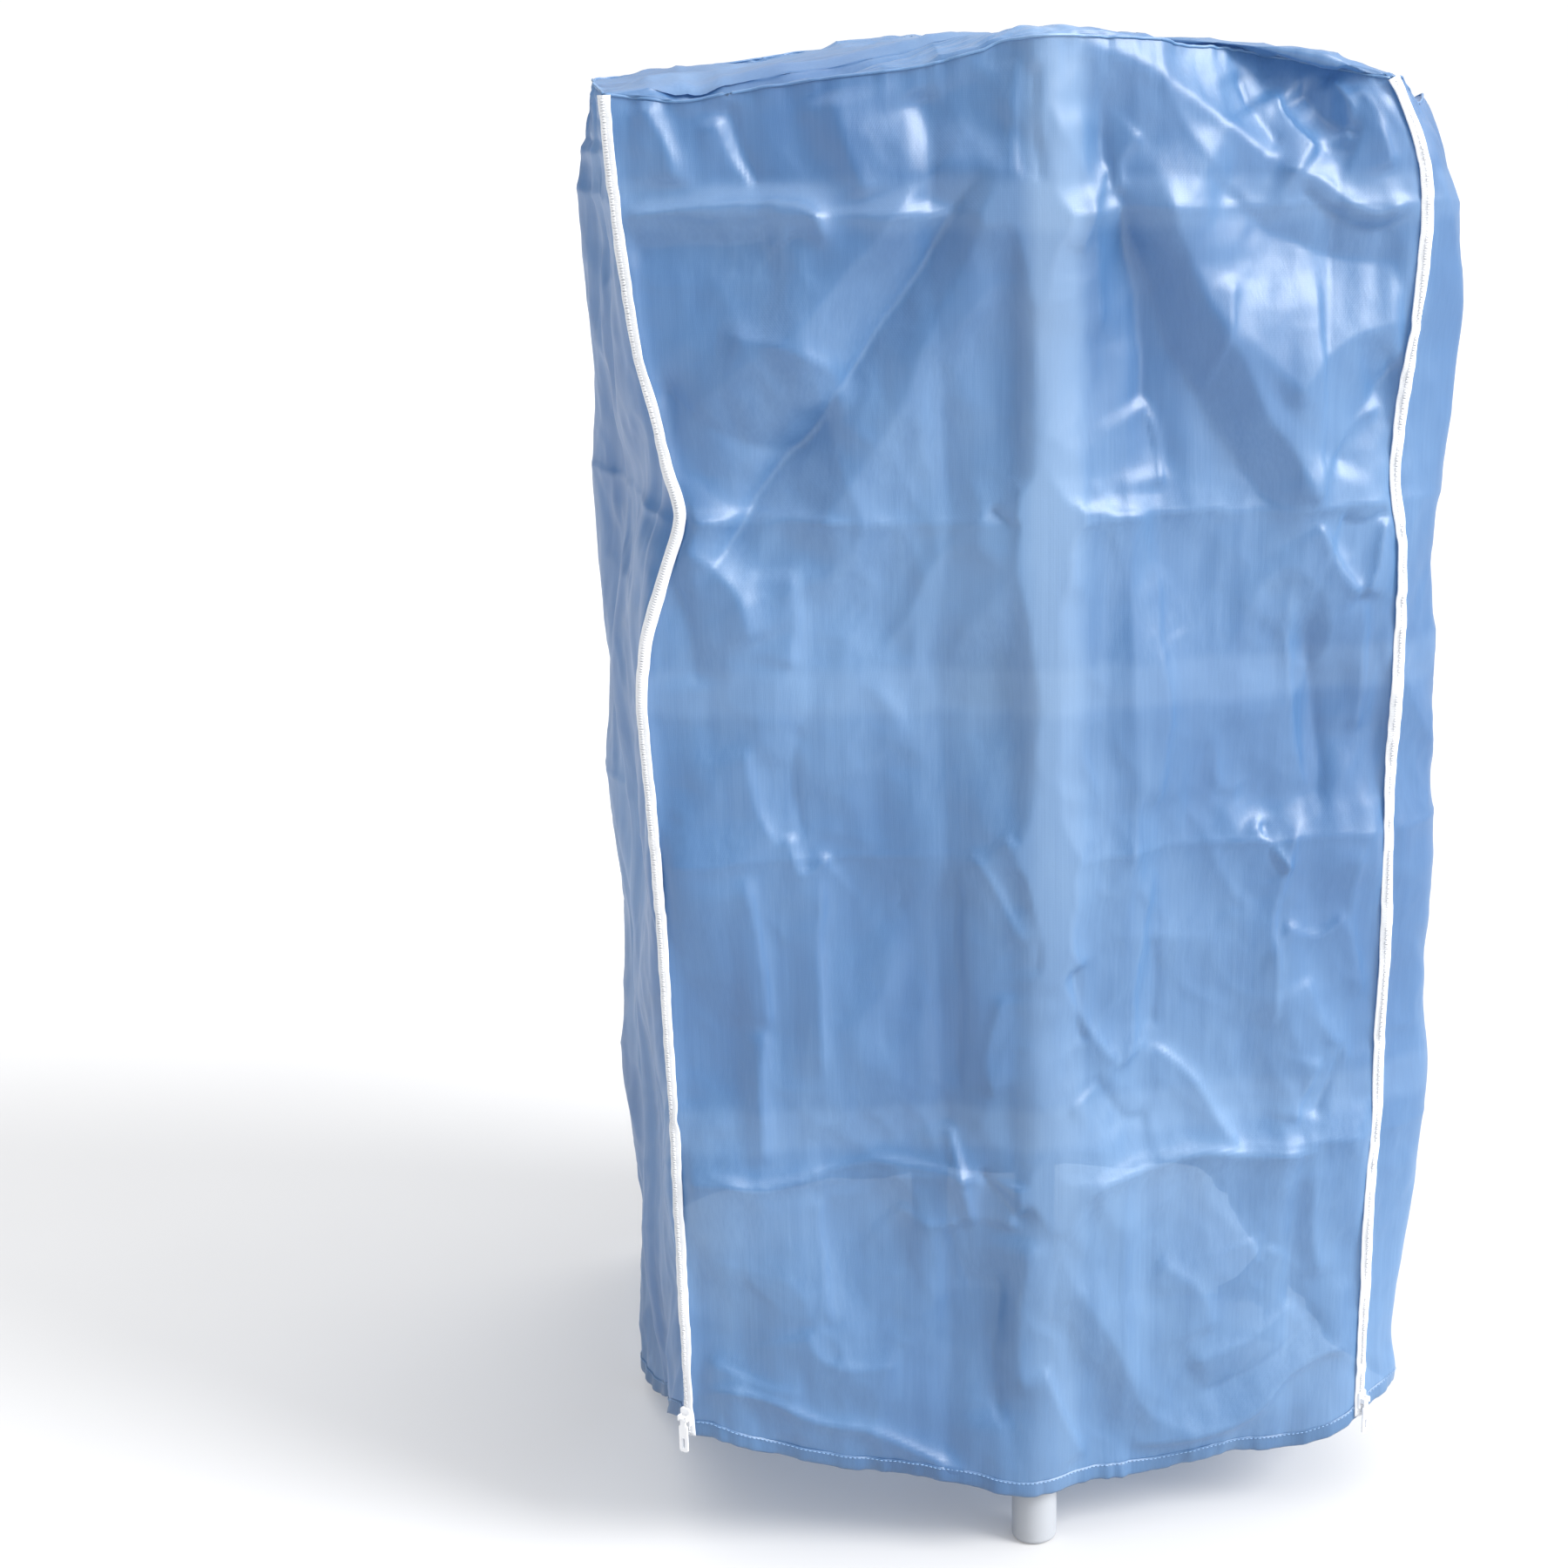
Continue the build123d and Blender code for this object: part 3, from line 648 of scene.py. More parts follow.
def fold(p, q, a, w0, w1=None, seed=0, lean=0.0):
    """A fold from p to q on the front panel, x and z in metres; a is its height."""
    w1 = w0 if w1 is None else w1
    px, pz = p
    qx, qz = q
    L = math.hypot(qx - px, qz - pz)
    tx, tz = (qx - px) / L, (qz - pz) / L
    rx, rz = Wx - px, Wz - pz
    t = rx * tx + rz * tz
    d = -rx * tz + rz * tx + 0.010 * value_noise(t / 0.12, t * 0 + seed, 31 + seed)
    tt = np.clip(t / L, 0, 1)
    w = w0 + (w1 - w0) * tt
    ends = np.clip(t / (0.18 * L), 0, 1) * np.clip((L - t) / (0.18 * L), 0, 1)
    ends = ends * ends * (3 - 2 * ends)
    d = d + lean * w
    prof = np.where(d > 0, np.exp(-(d / w) ** 1.3 * 1.0) if False else np.exp(-np.abs(d) / w), np.exp(-np.abs(d) / (w * 2.2)))
    return np.where(front, a * prof * ends, 0)


W = np.zeros((FV, FU))


def ridge(points, a, wl, wr=None, p=1.2, fade=0.15, wob=0.004, seed=0):
    """A fold along a line of (x, z) on the front. wl and wr are its widths
    below and above the line, p is how round its top is."""
    wr = wl if wr is None else wr
    P = np.array(points, float)
    # a smooth line through the points
    if len(P) > 2:
        u = np.linspace(0, len(P) - 1, 6 * (len(P) - 1) + 1)
        i = np.clip(u.astype(int), 0, len(P) - 2)
        t = (u - i)[:, None]
        M = np.gradient(P, axis=0)
        P = ((2 * t**3 - 3 * t**2 + 1) * P[i] + (t**3 - 2 * t**2 + t) * M[i] + (-2 * t**3 + 3 * t**2) * P[i + 1] + (t**3 - t**2) * M[i + 1])
    seg = np.linalg.norm(np.diff(P, axis=0), axis=1)
    L = np.concatenate([[0], np.cumsum(seg)])
    m_ = 4.2 * max(wl, wr) + 0.01
    fr_x, fr_z = Wx[:, :FK[2] + 1], Wz[:, :FK[2] + 1]
    inside = (fr_x > P[:, 0].min() - m_) & (fr_x < P[:, 0].max() + m_) & (fr_z > P[:, 1].min() - m_) & (fr_z < P[:, 1].max() + m_)
    r_, c_ = np.nonzero(inside)
    out = np.zeros(Wx.shape)
    if len(r_) == 0:
        return out
    wx_, wz_ = fr_x[r_, c_], fr_z[r_, c_]
    best = np.full(wx_.shape, 9.0)
    sd_ = np.zeros(wx_.shape)
    al = np.zeros(wx_.shape)
    xw = wx_ + wob * value_noise(wx_ / 0.05, wz_ / 0.05, 300 + seed)
    zw = wz_ + wob * value_noise(wx_ / 0.05, wz_ / 0.05, 400 + seed)
    for q in range(len(P) - 1):
        d0 = P[q + 1] - P[q]
        l2 = max((d0 ** 2).sum(), 1e-12)
        rx, rz = xw - P[q, 0], zw - P[q, 1]
        t = np.clip((rx * d0[0] + rz * d0[1]) / l2, 0, 1)
        ex, ez = rx - t * d0[0], rz - t * d0[1]
        d = np.hypot(ex, ez)
        sgn = np.sign(d0[0] * ez - d0[1] * ex)
        m = d < best
        best = np.where(m, d, best)
        sd_ = np.where(m, sgn * d, sd_)
        al = np.where(m, L[q] + t * seg[q], al)
    f = al / L[-1]
    g = np.clip(f / fade, 0, 1) * np.clip((1 - f) / fade, 0, 1)
    g = g * g * (3 - 2 * g)
    w_ = np.where(sd_ > 0, wr, wl)
    out[r_, c_] = a * np.exp(-(best / w_) ** p) * g
    return out


def tent(d, w, p=1.25):
    return np.maximum(0, 1 - np.abs(d) / w) ** p


# fold lines left from the packet: the cloth tents up or down along each line
for i, (z0, a0, w0) in enumerate(((1.208, 0.0058, 0.035), (0.962, 0.0070, 0.055), (0.676, 0.0070, 0.055), (0.386, 0.0075, 0.060))):
    line = z0 + 0.0035 * value_noise(Sg / 0.11, Sg * 0, 11 + i) + 0.0012 * value_noise(Sg / 0.025, Sg * 0, 15 + i)
    line = line - 0.014 * np.where(front, np.exp(-((Wx - 0.01) / 0.05) ** 2), 0) * (1 if i == 3 else 0.25)
    amp = a0 * (0.55 + 0.45 * value_noise(Sg / 0.14, Sg * 0 + 3, 19 + i))
    dd = Wz - line
    amp = np.where(front, amp, amp * (0.35 + 0.5 * value_noise(Sg / 0.2, Sg * 0 + 9, 61 + i)))
    W += amp * np.where(dd > 0, tent(dd, w0 * 0.7), tent(dd, w0 * 1.25)) + 0.0013 * (0.6 + 0.4 * value_noise(Sg / 0.05, Sg * 0, 71 + i)) * np.exp(-np.abs(dd) / 0.0042)
for i, (s0, a0, w0) in enumerate(((0.077, 0.0022, 0.02), (0.243, -0.0026, 0.025), (0.408, 0.0042, 0.030), (0.573, -0.0035, 0.03))):
    line = s0 + 0.004 * value_noise(Wz / 0.12, Wz * 0, 23 + i)
    amp = a0 * (0.5 + 0.5 * value_noise(Wz / 0.13, Wz * 0 + 7, 29 + i))
    dd = Sg - line
    W += amp * np.where(dd > 0, tent(dd, w0), tent(dd, w0 * 0.7))
for i in range(13):
    line = 0.80 + 0.165 * i + 0.004 * value_noise(Wz / 0.12, Wz * 0, 43 + i)
    W += 0.004 * (0.6 + 0.4 * value_noise(Wz / 0.13, Wz * 0 + 7, 49 + i)) * (1, -1)[i % 2] * tent(Sg - line, 0.028)
# pillows between the fold lines
W += 0.0035 * np.sin(2 * np.pi * (Wz - 0.386) / 0.285 - 1.2) * np.sin(2 * np.pi * (Sg - 0.077) / 0.33 + 0.8 * np.sin(Wz * 9)) * np.where(Wz < 1.15, 1, 0.3)

# the long pulls on the front, fanning out from the top of the post
for i, (pts, a0, wl, wr, p_) in enumerate([
    # left side
    ([(-0.055, 1.275), (-0.12, 1.20), (-0.185, 1.13), (-0.262, 1.065), (-0.305, 1.02)], 0.0125, 0.030, 0.045, 1.5),
    ([(-0.04, 1.25), (-0.115, 1.135), (-0.18, 1.04), (-0.25, 0.955), (-0.28, 0.90)], -0.0120, 0.013, 0.020, 1.1),
    ([(-0.02, 1.27), (-0.075, 1.14), (-0.13, 1.03), (-0.20, 0.94)], 0.0085, 0.032, 0.024, 1.4),
    ([(-0.255, 1.12), (-0.20, 1.105), (-0.165, 1.085), (-0.158, 1.045)], 0.0050, 0.018, 0.008, 1.1),
    ([(-0.31, 1.09), (-0.26, 1.035), (-0.20, 1.02), (-0.165, 1.055)], -0.0070, 0.020, 0.018, 1.4),
    ([(-0.34, 1.20), (-0.26, 1.213), (-0.19, 1.212), (-0.172, 1.195), (-0.175, 1.178)], 0.0075, 0.016, 0.005, 1.0),
    ([(-0.33, 1.18), (-0.26, 1.185), (-0.20, 1.185)], -0.0050, 0.016, 0.014, 1.2),
    ([(-0.31, 1.29), (-0.29, 1.255), (-0.285, 1.225)], 0.004, 0.010, 0.008, 1.1),
    ([(-0.24, 1.29), (-0.235, 1.26), (-0.22, 1.225)], -0.004, 0.010, 0.007, 1.1),
    ([(-0.25, 1.28), (-0.24, 1.245), (-0.225, 1.222)], 0.004, 0.005, 0.006, 1.0),
    ([(-0.16, 1.30), (-0.15, 1.255), (-0.135, 1.215)], 0.0055, 0.014, 0.018, 1.3),
    ([(-0.10, 1.30), (-0.085, 1.25), (-0.09, 1.20)], -0.005, 0.014, 0.014, 1.3),
    ([(-0.30, 0.985), (-0.272, 0.965), (-0.235, 0.968), (-0.15, 0.965)], 0.0050, 0.020, 0.006, 1.0),
    ([(-0.30, 0.95), (-0.27, 0.93), (-0.25, 0.90), (-0.235, 0.86)], 0.0055, 0.014, 0.012, 1.2),
    ([(-0.31, 0.93), (-0.29, 0.88), (-0.285, 0.82)], -0.0045, 0.010, 0.012, 1.2),
    ([(-0.205, 0.93), (-0.20, 0.88), (-0.205, 0.84)], 0.0035, 0.010, 0.008, 1.2),
    # at the post
    ([(-0.018, 1.325), (-0.022, 1.26), (-0.016, 1.20)], 0.0048, 0.007, 0.006, 1.1),
    ([(-0.008, 1.32), (-0.010, 1.27), (-0.004, 1.215)], -0.0042, 0.004, 0.004, 1.0),
    ([(0.045, 1.31), (0.060, 1.23), (0.082, 1.14), (0.098, 1.02), (0.100, 0.965)], -0.0085, 0.022, 0.012, 1.2),
    ([(0.083, 1.06), (0.098, 1.03), (0.103, 0.985)], 0.0055, 0.008, 0.006, 1.0),
    ([(0.028, 1.29), (0.040, 1.20), (0.050, 1.10)], 0.0045, 0.014, 0.016, 1.3),
    ([(0.055, 1.24), (0.030, 1.17)], 0.003, 0.004, 0.003, 1.0),
    ([(0.085, 1.265), (0.065, 1.24), (0.070, 1.215)], 0.0035, 0.006, 0.005, 1.0),
    # right side
    ([(0.085, 1.26), (0.125, 1.16), (0.175, 1.07), (0.225, 0.985), (0.25, 0.94)], 0.0125, 0.026, 0.034, 1.5),
    ([(0.065, 1.22), (0.10, 1.13), (0.15, 1.03), (0.215, 0.94)], -0.0095, 0.020, 0.020, 1.3),
    ([(0.13, 1.235), (0.20, 1.19), (0.27, 1.165), (0.32, 1.16)], -0.0080, 0.026, 0.022, 1.4),
    ([(0.32, 1.12), (0.26, 1.10), (0.20, 1.05)], 0.0070, 0.024, 0.020, 1.4),
    ([(0.165, 1.16), (0.155, 1.12), (0.135, 1.06)], 0.0032, 0.006, 0.005, 1.0),
    ([(0.235, 1.16), (0.237, 1.06), (0.24, 0.96)], 0.0032, 0.010, 0.004, 1.0),
    ([(0.315, 1.09), (0.27, 1.03), (0.25, 0.99)], -0.0055, 0.012, 0.014, 1.3),
    ([(0.30, 1.045), (0.272, 1.03), (0.245, 0.995), (0.235, 0.96)], 0.0050, 0.012, 0.007, 1.1),
    ([(0.235, 0.955), (0.262, 0.915), (0.285, 0.885)], 0.0065, 0.007, 0.006, 1.0),
    ([(0.283, 0.885), (0.292, 0.915), (0.305, 0.955)], 0.0060, 0.006, 0.007, 1.0),
    ([(0.255, 0.955), (0.28, 0.95), (0.31, 0.96)], -0.0050, 0.010, 0.007, 1.1),
    ([(0.285, 0.885), (0.287, 0.82), (0.285, 0.76)], 0.0040, 0.012, 0.006, 1.1),
    ([(0.20, 1.245), (0.24, 1.228), (0.28, 1.205), (0.315, 1.215)], 0.0070, 0.010, 0.012, 1.1),
    ([(0.215, 1.228), (0.25, 1.205), (0.285, 1.19), (0.32, 1.205)], -0.0050, 0.008, 0.008, 1.1),
    ([(0.20, 1.30), (0.215, 1.27), (0.24, 1.245)], 0.0075, 0.010, 0.007, 1.1),
    ([(0.225, 1.305), (0.245, 1.275), (0.27, 1.265)], -0.0080, 0.007, 0.008, 1.1),
    ([(0.245, 1.31), (0.262, 1.285), (0.262, 1.25)], 0.0060, 0.006, 0.006, 1.0),
    ([(0.17, 1.315), (0.185, 1.28), (0.205, 1.25)], -0.0045, 0.008, 0.010, 1.2),
    ([(0.27, 1.30), (0.288, 1.27), (0.30, 1.235)], 0.0050, 0.008, 0.007, 1.1),
    ([(0.02, 1.33), (0.10, 1.305), (0.16, 1.268), (0.205, 1.24)], 0.0035, 0.012, 0.014, 1.2),
    # middle rows
    ([(-0.03, 1.0), (0.0, 0.965), (0.03, 0.968), (0.10, 0.960)], 0.0035, 0.014, 0.005, 1.0),
    ([(-0.045, 0.975), (-0.02, 0.958), (0.0, 0.967)], -0.0045, 0.004, 0.004, 1.0),
    ([(0.0, 0.95), (0.005, 0.85), (-0.003, 0.74)], 0.0028, 0.015, 0.012, 1.3),
    ([(0.10, 0.93), (0.108, 0.80), (0.104, 0.70)], 0.0035, 0.012, 0.007, 1.1),
    ([(0.215, 0.90), (0.225, 0.80), (0.245, 0.70)], 0.0040, 0.006, 0.010, 1.1),
    ([(0.235, 0.88), (0.245, 0.80), (0.262, 0.69)], -0.0035, 0.007, 0.008, 1.1),
    ([(-0.245, 0.78), (-0.235, 0.72), (-0.22, 0.69)], 0.0035, 0.006, 0.006, 1.0),
    ([(-0.20, 0.80), (-0.205, 0.74), (-0.20, 0.69)], -0.0030, 0.006, 0.008, 1.1),
    ([(-0.215, 0.70), (-0.20, 0.665), (-0.175, 0.68)], 0.0045, 0.005, 0.006, 1.0),
    ([(-0.035, 0.70), (-0.018, 0.685), (0.010, 0.69), (0.030, 0.668)], 0.0050, 0.006, 0.006, 1.0),
    ([(-0.06, 0.685), (-0.035, 0.64), (-0.012, 0.60)], 0.0040, 0.005, 0.007, 1.0),
    ([(-0.02, 0.67), (-0.008, 0.62), (-0.004, 0.57)], -0.0035, 0.005, 0.005, 1.0),
    ([(0.012, 0.645), (0.022, 0.605), (0.040, 0.575)], 0.0060, 0.008, 0.009, 1.2),
    ([(0.008, 0.61), (0.018, 0.57), (0.035, 0.53), (0.075, 0.475)], 0.0050, 0.006, 0.007, 1.0),
    ([(0.03, 0.58), (0.032, 0.535), (0.045, 0.505)], -0.0040, 0.005, 0.005, 1.0),
    ([(0.10, 0.66), (0.092, 0.60), (0.088, 0.52), (0.075, 0.47)], 0.0045, 0.007, 0.008, 1.1),
    ([(0.10, 0.60), (0.112, 0.56), (0.108, 0.50)], -0.0030, 0.006, 0.006, 1.1),
    ([(0.185, 0.69), (0.215, 0.655), (0.225, 0.64)], 0.0060, 0.006, 0.006, 1.0),
    ([(0.235, 0.70), (0.225, 0.66), (0.215, 0.60), (0.215, 0.50)], 0.0045, 0.010, 0.005, 1.0),
    ([(0.20, 0.69), (0.21, 0.66), (0.222, 0.64)], -0.0045, 0.004, 0.005, 1.0),
    ([(0.295, 0.67), (0.285, 0.60), (0.30, 0.52)], 0.0040, 0.008, 0.006, 1.1),
    ([(-0.245, 0.67), (-0.238, 0.60), (-0.235, 0.52)], 0.0050, 0.008, 0.004, 1.0),
    ([(-0.19, 0.67), (-0.187, 0.58), (-0.19, 0.47)], 0.0042, 0.008, 0.005, 1.0),
    ([(-0.238, 0.53), (-0.245, 0.46), (-0.235, 0.40)], 0.0045, 0.006, 0.007, 1.0),
    ([(-0.075, 0.67), (-0.07, 0.58), (-0.073, 0.46)], -0.0035, 0.010, 0.006, 1.1),
    ([(-0.04, 0.46), (-0.045, 0.50), (-0.03, 0.56)], 0.0035, 0.006, 0.006, 1.1),
    ([(0.10, 0.50), (0.14, 0.46), (0.175, 0.405), (0.195, 0.385)], 0.0042, 0.005, 0.006, 1.0),
    ([(0.045, 0.475), (0.075, 0.43), (0.105, 0.425)], -0.0030, 0.006, 0.006, 1.0),
    ([(0.02, 0.44), (0.06, 0.47), (0.10, 0.50)], 0.0028, 0.005, 0.005, 1.0),
    ([(0.24, 0.55), (0.27, 0.49), (0.30, 0.46)], 0.0040, 0.010, 0.008, 1.2),
    ([(0.26, 0.47), (0.245, 0.43), (0.235, 0.40)], 0.0045, 0.006, 0.005, 1.0),
    ([(0.285, 0.48), (0.27, 0.43), (0.262, 0.40)], -0.0040, 0.005, 0.006, 1.0),
    ([(0.215, 0.60), (0.25, 0.585), (0.28, 0.60)], 0.0035, 0.010, 0.008, 1.2),
    # lower rows
    ([(-0.30, 0.395), (-0.24, 0.380), (-0.185, 0.388), (-0.13, 0.395), (-0.07, 0.385), (-0.035, 0.37)], 0.0050, 0.022, 0.006, 1.0),
    ([(-0.085, 0.44), (-0.068, 0.385), (-0.055, 0.33)], 0.0060, 0.007, 0.006, 1.0),
    ([(-0.055, 0.395), (-0.035, 0.365), (-0.022, 0.345), (-0.01, 0.355)], -0.0055, 0.006, 0.006, 1.0),
    ([(-0.018, 0.345), (0.02, 0.365), (0.08, 0.378), (0.16, 0.384), (0.27, 0.375)], 0.0070, 0.022, 0.006, 1.0),
    ([(-0.015, 0.38), (-0.025, 0.345), (-0.028, 0.33)], 0.0055, 0.006, 0.005, 1.0),
    ([(-0.012, 0.33), (-0.02, 0.26), (-0.018, 0.16)], 0.0050, 0.016, 0.010, 1.3),
    ([(-0.035, 0.30), (-0.045, 0.22), (-0.04, 0.13)], -0.0050, 0.010, 0.012, 1.2),
    ([(0.00, 0.20), (0.022, 0.14), (0.045, 0.085)], 0.0045, 0.010, 0.006, 1.1),
    ([(-0.19, 0.375), (-0.192, 0.31), (-0.19, 0.24)], 0.0035, 0.008, 0.005, 1.0),
    ([(-0.21, 0.245), (-0.19, 0.205), (-0.12, 0.20)], 0.0040, 0.010, 0.012, 1.2),
    ([(-0.30, 0.205), (-0.26, 0.19), (-0.21, 0.175)], 0.0038, 0.012, 0.010, 1.2),
    ([(0.11, 0.285), (0.15, 0.245), (0.17, 0.20)], 0.0032, 0.012, 0.010, 1.2),
    ([(0.14, 0.17), (0.20, 0.19), (0.25, 0.225)], 0.0045, 0.012, 0.010, 1.2),
    ([(0.15, 0.14), (0.21, 0.16), (0.28, 0.21)], -0.0040, 0.010, 0.010, 1.2),
    ([(0.255, 0.37), (0.262, 0.30), (0.275, 0.24)], 0.0040, 0.006, 0.008, 1.1),
    ([(0.20, 0.30), (0.21, 0.27), (0.225, 0.285)], 0.0030, 0.008, 0.008, 1.2),
    ([(-0.13, 0.36), (-0.10, 0.34), (-0.07, 0.345)], 0.0028, 0.008, 0.008, 1.2),
    # the hem turns out in two shallow lobes beside the zips
    ([(-0.31, 0.165), (-0.285, 0.178), (-0.25, 0.170), (-0.19, 0.145), (-0.12, 0.115), (-0.06, 0.080)], 0.0060, 0.014, 0.006, 1.1),
    ([(0.08, 0.088), (0.15, 0.095), (0.20, 0.115), (0.25, 0.155), (0.29, 0.165), (0.312, 0.14)], 0.0060, 0.006, 0.016, 1.1),
])    :
    if max(wl, wr) < 0.0125:
        a0, wl, wr, p_ = a0 * 1.0, wl * 2.6, wr * 0.8, 1.0
    else:
        a0, wl, wr, p_ = a0 * 1.12, wl * 1.35, wr * 1.35, min(p_, 1.22)
    W += ridge(pts, a0, wl, wr, p_, seed=i)
W *= 1.2
# the cloth wraps the post
for sx, hit in ((1, front), (-1, ~front & (Wy > 0.3))):
    W += np.where(hit, 0.0100 * np.where(Wx < -0.006, np.exp(-(np.abs(Wx + 0.006) / 0.014) ** 2), np.exp(-(np.abs(Wx + 0.006) / 0.044) ** 1.6)) * np.interp(Wz, [0.05, 0.35, 0.7, 1.0, 1.33], [0.15, 0.35, 0.6, 1.0, 1.1]), 0)

# crumple: sharp little ridges of a thin coated cloth
def crumple(u, v_, seed, k=1.0):
    out = np.zeros(u.shape)
    for sc_, am in ((0.13, 0.0150), (0.066, 0.0078), (0.034, 0.0036), (0.018, 0.0014)):
        seed += 7
        wu = u + 0.35 * sc_ * value_noise(u / sc_ * 0.8, v_ / sc_ * 0.8, seed + 50)
        wv = v_ + 0.35 * sc_ * value_noise(u / sc_ * 0.8, v_ / sc_ * 0.8, seed + 60)
        th = 0.5 if seed % 2 else -0.45
        ru, rv = wu * math.cos(th) - wv * math.sin(th), wu * math.sin(th) + wv * math.cos(th)
        nse = value_noise(ru / sc_, rv / (sc_ * 1.7), seed)
        ns2 = value_noise(rv / sc_, ru / (sc_ * 1.5), seed + 3)
        out += k * am * (0.35 - np.abs(nse)) * (0.6 + 0.4 * ns2)
    return out


gate = 0.62 + 0.38 * value_noise(Sg / 0.22, Wz / 0.22, 170)
gate = np.where(front, gate * np.interp(Wz, [0.1, 0.4, 0.95, 1.05, 1.3], [0.75, 0.85, 0.8, 0.6, 0.55]), gate * 0.95)
W += crumple(Sg, Wz, 3) * gate
# puckers along the top seam and the hem
rimd = base[FV - 1, :, 2][None, :] - Wz
hemd = Wz - base[0, :, 2][None, :]
puck = value_noise(Sg / 0.0075, Wz / 0.05, 5) + 0.6 * value_noise(Sg / 0.018, Wz / 0.08, 6)
W += 0.0016 * puck * np.exp(-rimd / 0.018)
W += 0.0014 * puck * np.exp(-hemd / 0.016)
# smaller gathers where each zip is sewn on
for k in (0, 2):
    d = np.abs(S - S[FK[k]])
    d = np.minimum(d, S[-1] - d)[None, :]
    side = value_noise(Sg / 0.05, Wz / 0.014, 8 + k)
    W += 0.0014 * side * np.exp(-d / 0.014) * (1 - np.exp(-d / 0.004))
for k in (0, 2):
    d = np.minimum(np.abs(S - S[FK[k]]), S[-1] - np.abs(S - S[FK[k]]))[None, :]
    W *= 1 - 0.96 * np.exp(-(d / 0.010) ** 2)
# bunched cloth at the top corners
cor = np.exp(-((np.abs(Wx) - 0.325) / 0.045) ** 2) * np.clip((Wz - 1.235) / 0.05, 0, 1) * np.where(Wy < 0.1, 1, 0.6)
W += cor * (0.0015 + 0.0038 * np.abs(value_noise(Sg / 0.032, Wz / 0.028, 201)) + 0.0020 * value_noise(Sg / 0.016, Wz / 0.018, 202)) * (1 - np.exp(-((np.minimum(np.abs(S - S[FK[0]]), np.abs(S - S[FK[2]])))[None, :] / 0.012) ** 2))
off[:FV] = W
print('W std front mm', float(W[:, :FK[2]].std() * 1000), 'body', float(W[:, FK[2]:].std() * 1000), 'crumple', float((crumple(Sg, Wz, 3) * gate)[:, :FK[2]].std() * 1000))
# top: the same crumple, fading in from the rim
tx_, ty_ = base[FV:, :, 0], base[FV:, :, 1]
T = np.zeros(tx_.shape)
T += crumple(tx_, ty_, 21, 0.9)
for x0 in (-0.243, -0.078, 0.087, 0.252):
    T += 0.002 * np.exp(-np.abs(tx_ - x0) / 0.005)
ct_ = np.clip((np.abs(tx_) - 0.20) / 0.08, 0, 1) * np.clip((0.05 - ty_) / 0.2, 0.25, 1)
T += ct_ * (0.0065 * value_noise(tx_ / 0.045, ty_ / 0.05, 211) + 0.0035 * (0.4 - np.abs(value_noise(tx_ / 0.026, ty_ / 0.03, 212))))
# creases that run out from the post tops
for sy in (-0.349, 0.349):
    an = np.arctan2(ty_ - sy, tx_)
    rr = np.hypot(tx_, ty_ - sy)
    T += 0.0045 * np.abs(value_noise(an / 0.33, an * 0 + sy, 221)) * np.exp(-rr / 0.16) * np.clip(rr / 0.05, 0, 1)
fade = np.clip(np.arange(FR - FV) / 6.0, 0, 1)[:, None]
mid = np.clip((FR - FV - 1 - np.arange(FR - FV)) / 6.0, 0, 1)[:, None]
rd = np.arange(FR - FV)[:, None] * 0.0065
T = T * fade * mid + 0.0016 * value_noise(np.repeat(S[None], FR - FV, 0) / 0.0075, rd / 0.05, 5) * np.exp(-rd / 0.018)
off[FV:] = T
off = off * np.clip((FR - 1 - np.arange(FR)) / 3.0, 0, 1)[:, None]
N = normals(fine)
G = fine + N * off[..., None]

coarse = G[::2, ::2].copy()
t0 = time.time()
soft_ = crumpled(coarse, (7, 4, 2, 1), (0.0070, 0.0060, 0.0050, 0.0022), (70, 60, 50, 30), 0.28, (0.012, 0.007, 0.004, 0.002), 5)
d = soft_ - coarse
print("settle", round(time.time() - t0, 1), "s")
G = G + up2(up2(d, 1, True), 0, False)


def clear(G):
    """The cloth rests on the frame: no point of it is inside a leg, a rail,
    a bracket or a post."""
    x, y, z = G[..., 0], G[..., 1], G[..., 2]
    side = np.abs(x) > 0.25
    soft = lambda v, lo, m=0.004: lo + 0.5 * ((v - lo) + np.sqrt((v - lo) ** 2 + m * m))
    leg = np.clip(1 - ((np.abs(y) - 0.018) / 0.030), 0, 1) * np.clip((1.275 - z) / 0.02, 0, 1)
    need = 0.3405 * leg + 0.322 * (1 - leg)
    ax = np.where(side & (leg > 0), soft(np.abs(x), need), np.abs(x))
    x2 = np.sign(x) * ax
    tier = np.zeros(z.shape)
    for zt in (0.430, 0.822, 1.214):
        tier = np.maximum(tier, np.clip((0.036 - np.abs(z - zt)) / 0.012, 0, 1))
    fb = (np.abs(y) > 0.30) & (np.abs(x) < 0.316)
    low = z < 1.325
    post = np.clip(1 - (np.abs(x) - 0.022) / 0.030, 0, 1)
    need = np.maximum((0.3285 + 0.001) * tier, np.maximum(0.3695 * post, 0.3752 * post * tier))
    ay = np.where(fb & low & (need > 0.2), soft(np.abs(y), need, 0.003), np.abs(y))
    y2 = np.sign(y) * ay
    cap = np.clip(1 - (np.abs(x) - 0.024) / 0.02, 0, 1) * np.clip(1 - (np.abs(np.abs(y) - 0.349) - 0.020) / 0.02, 0, 1)
    z2 = np.where((cap > 0) & ~low, np.maximum(z, 1.3368 * cap + z * (1 - cap)), z)
    return np.stack([x2, y2, z2], -1)


G = clear(G)
G[:, :, 1] = np.clip(G[:, :, 1], -0.392, 0.388)
G[:, :, 0] = np.clip(G[:, :, 0], -0.374, 0.388)
G[:, :, 2] = np.minimum(G[:, :, 2], 1.355)


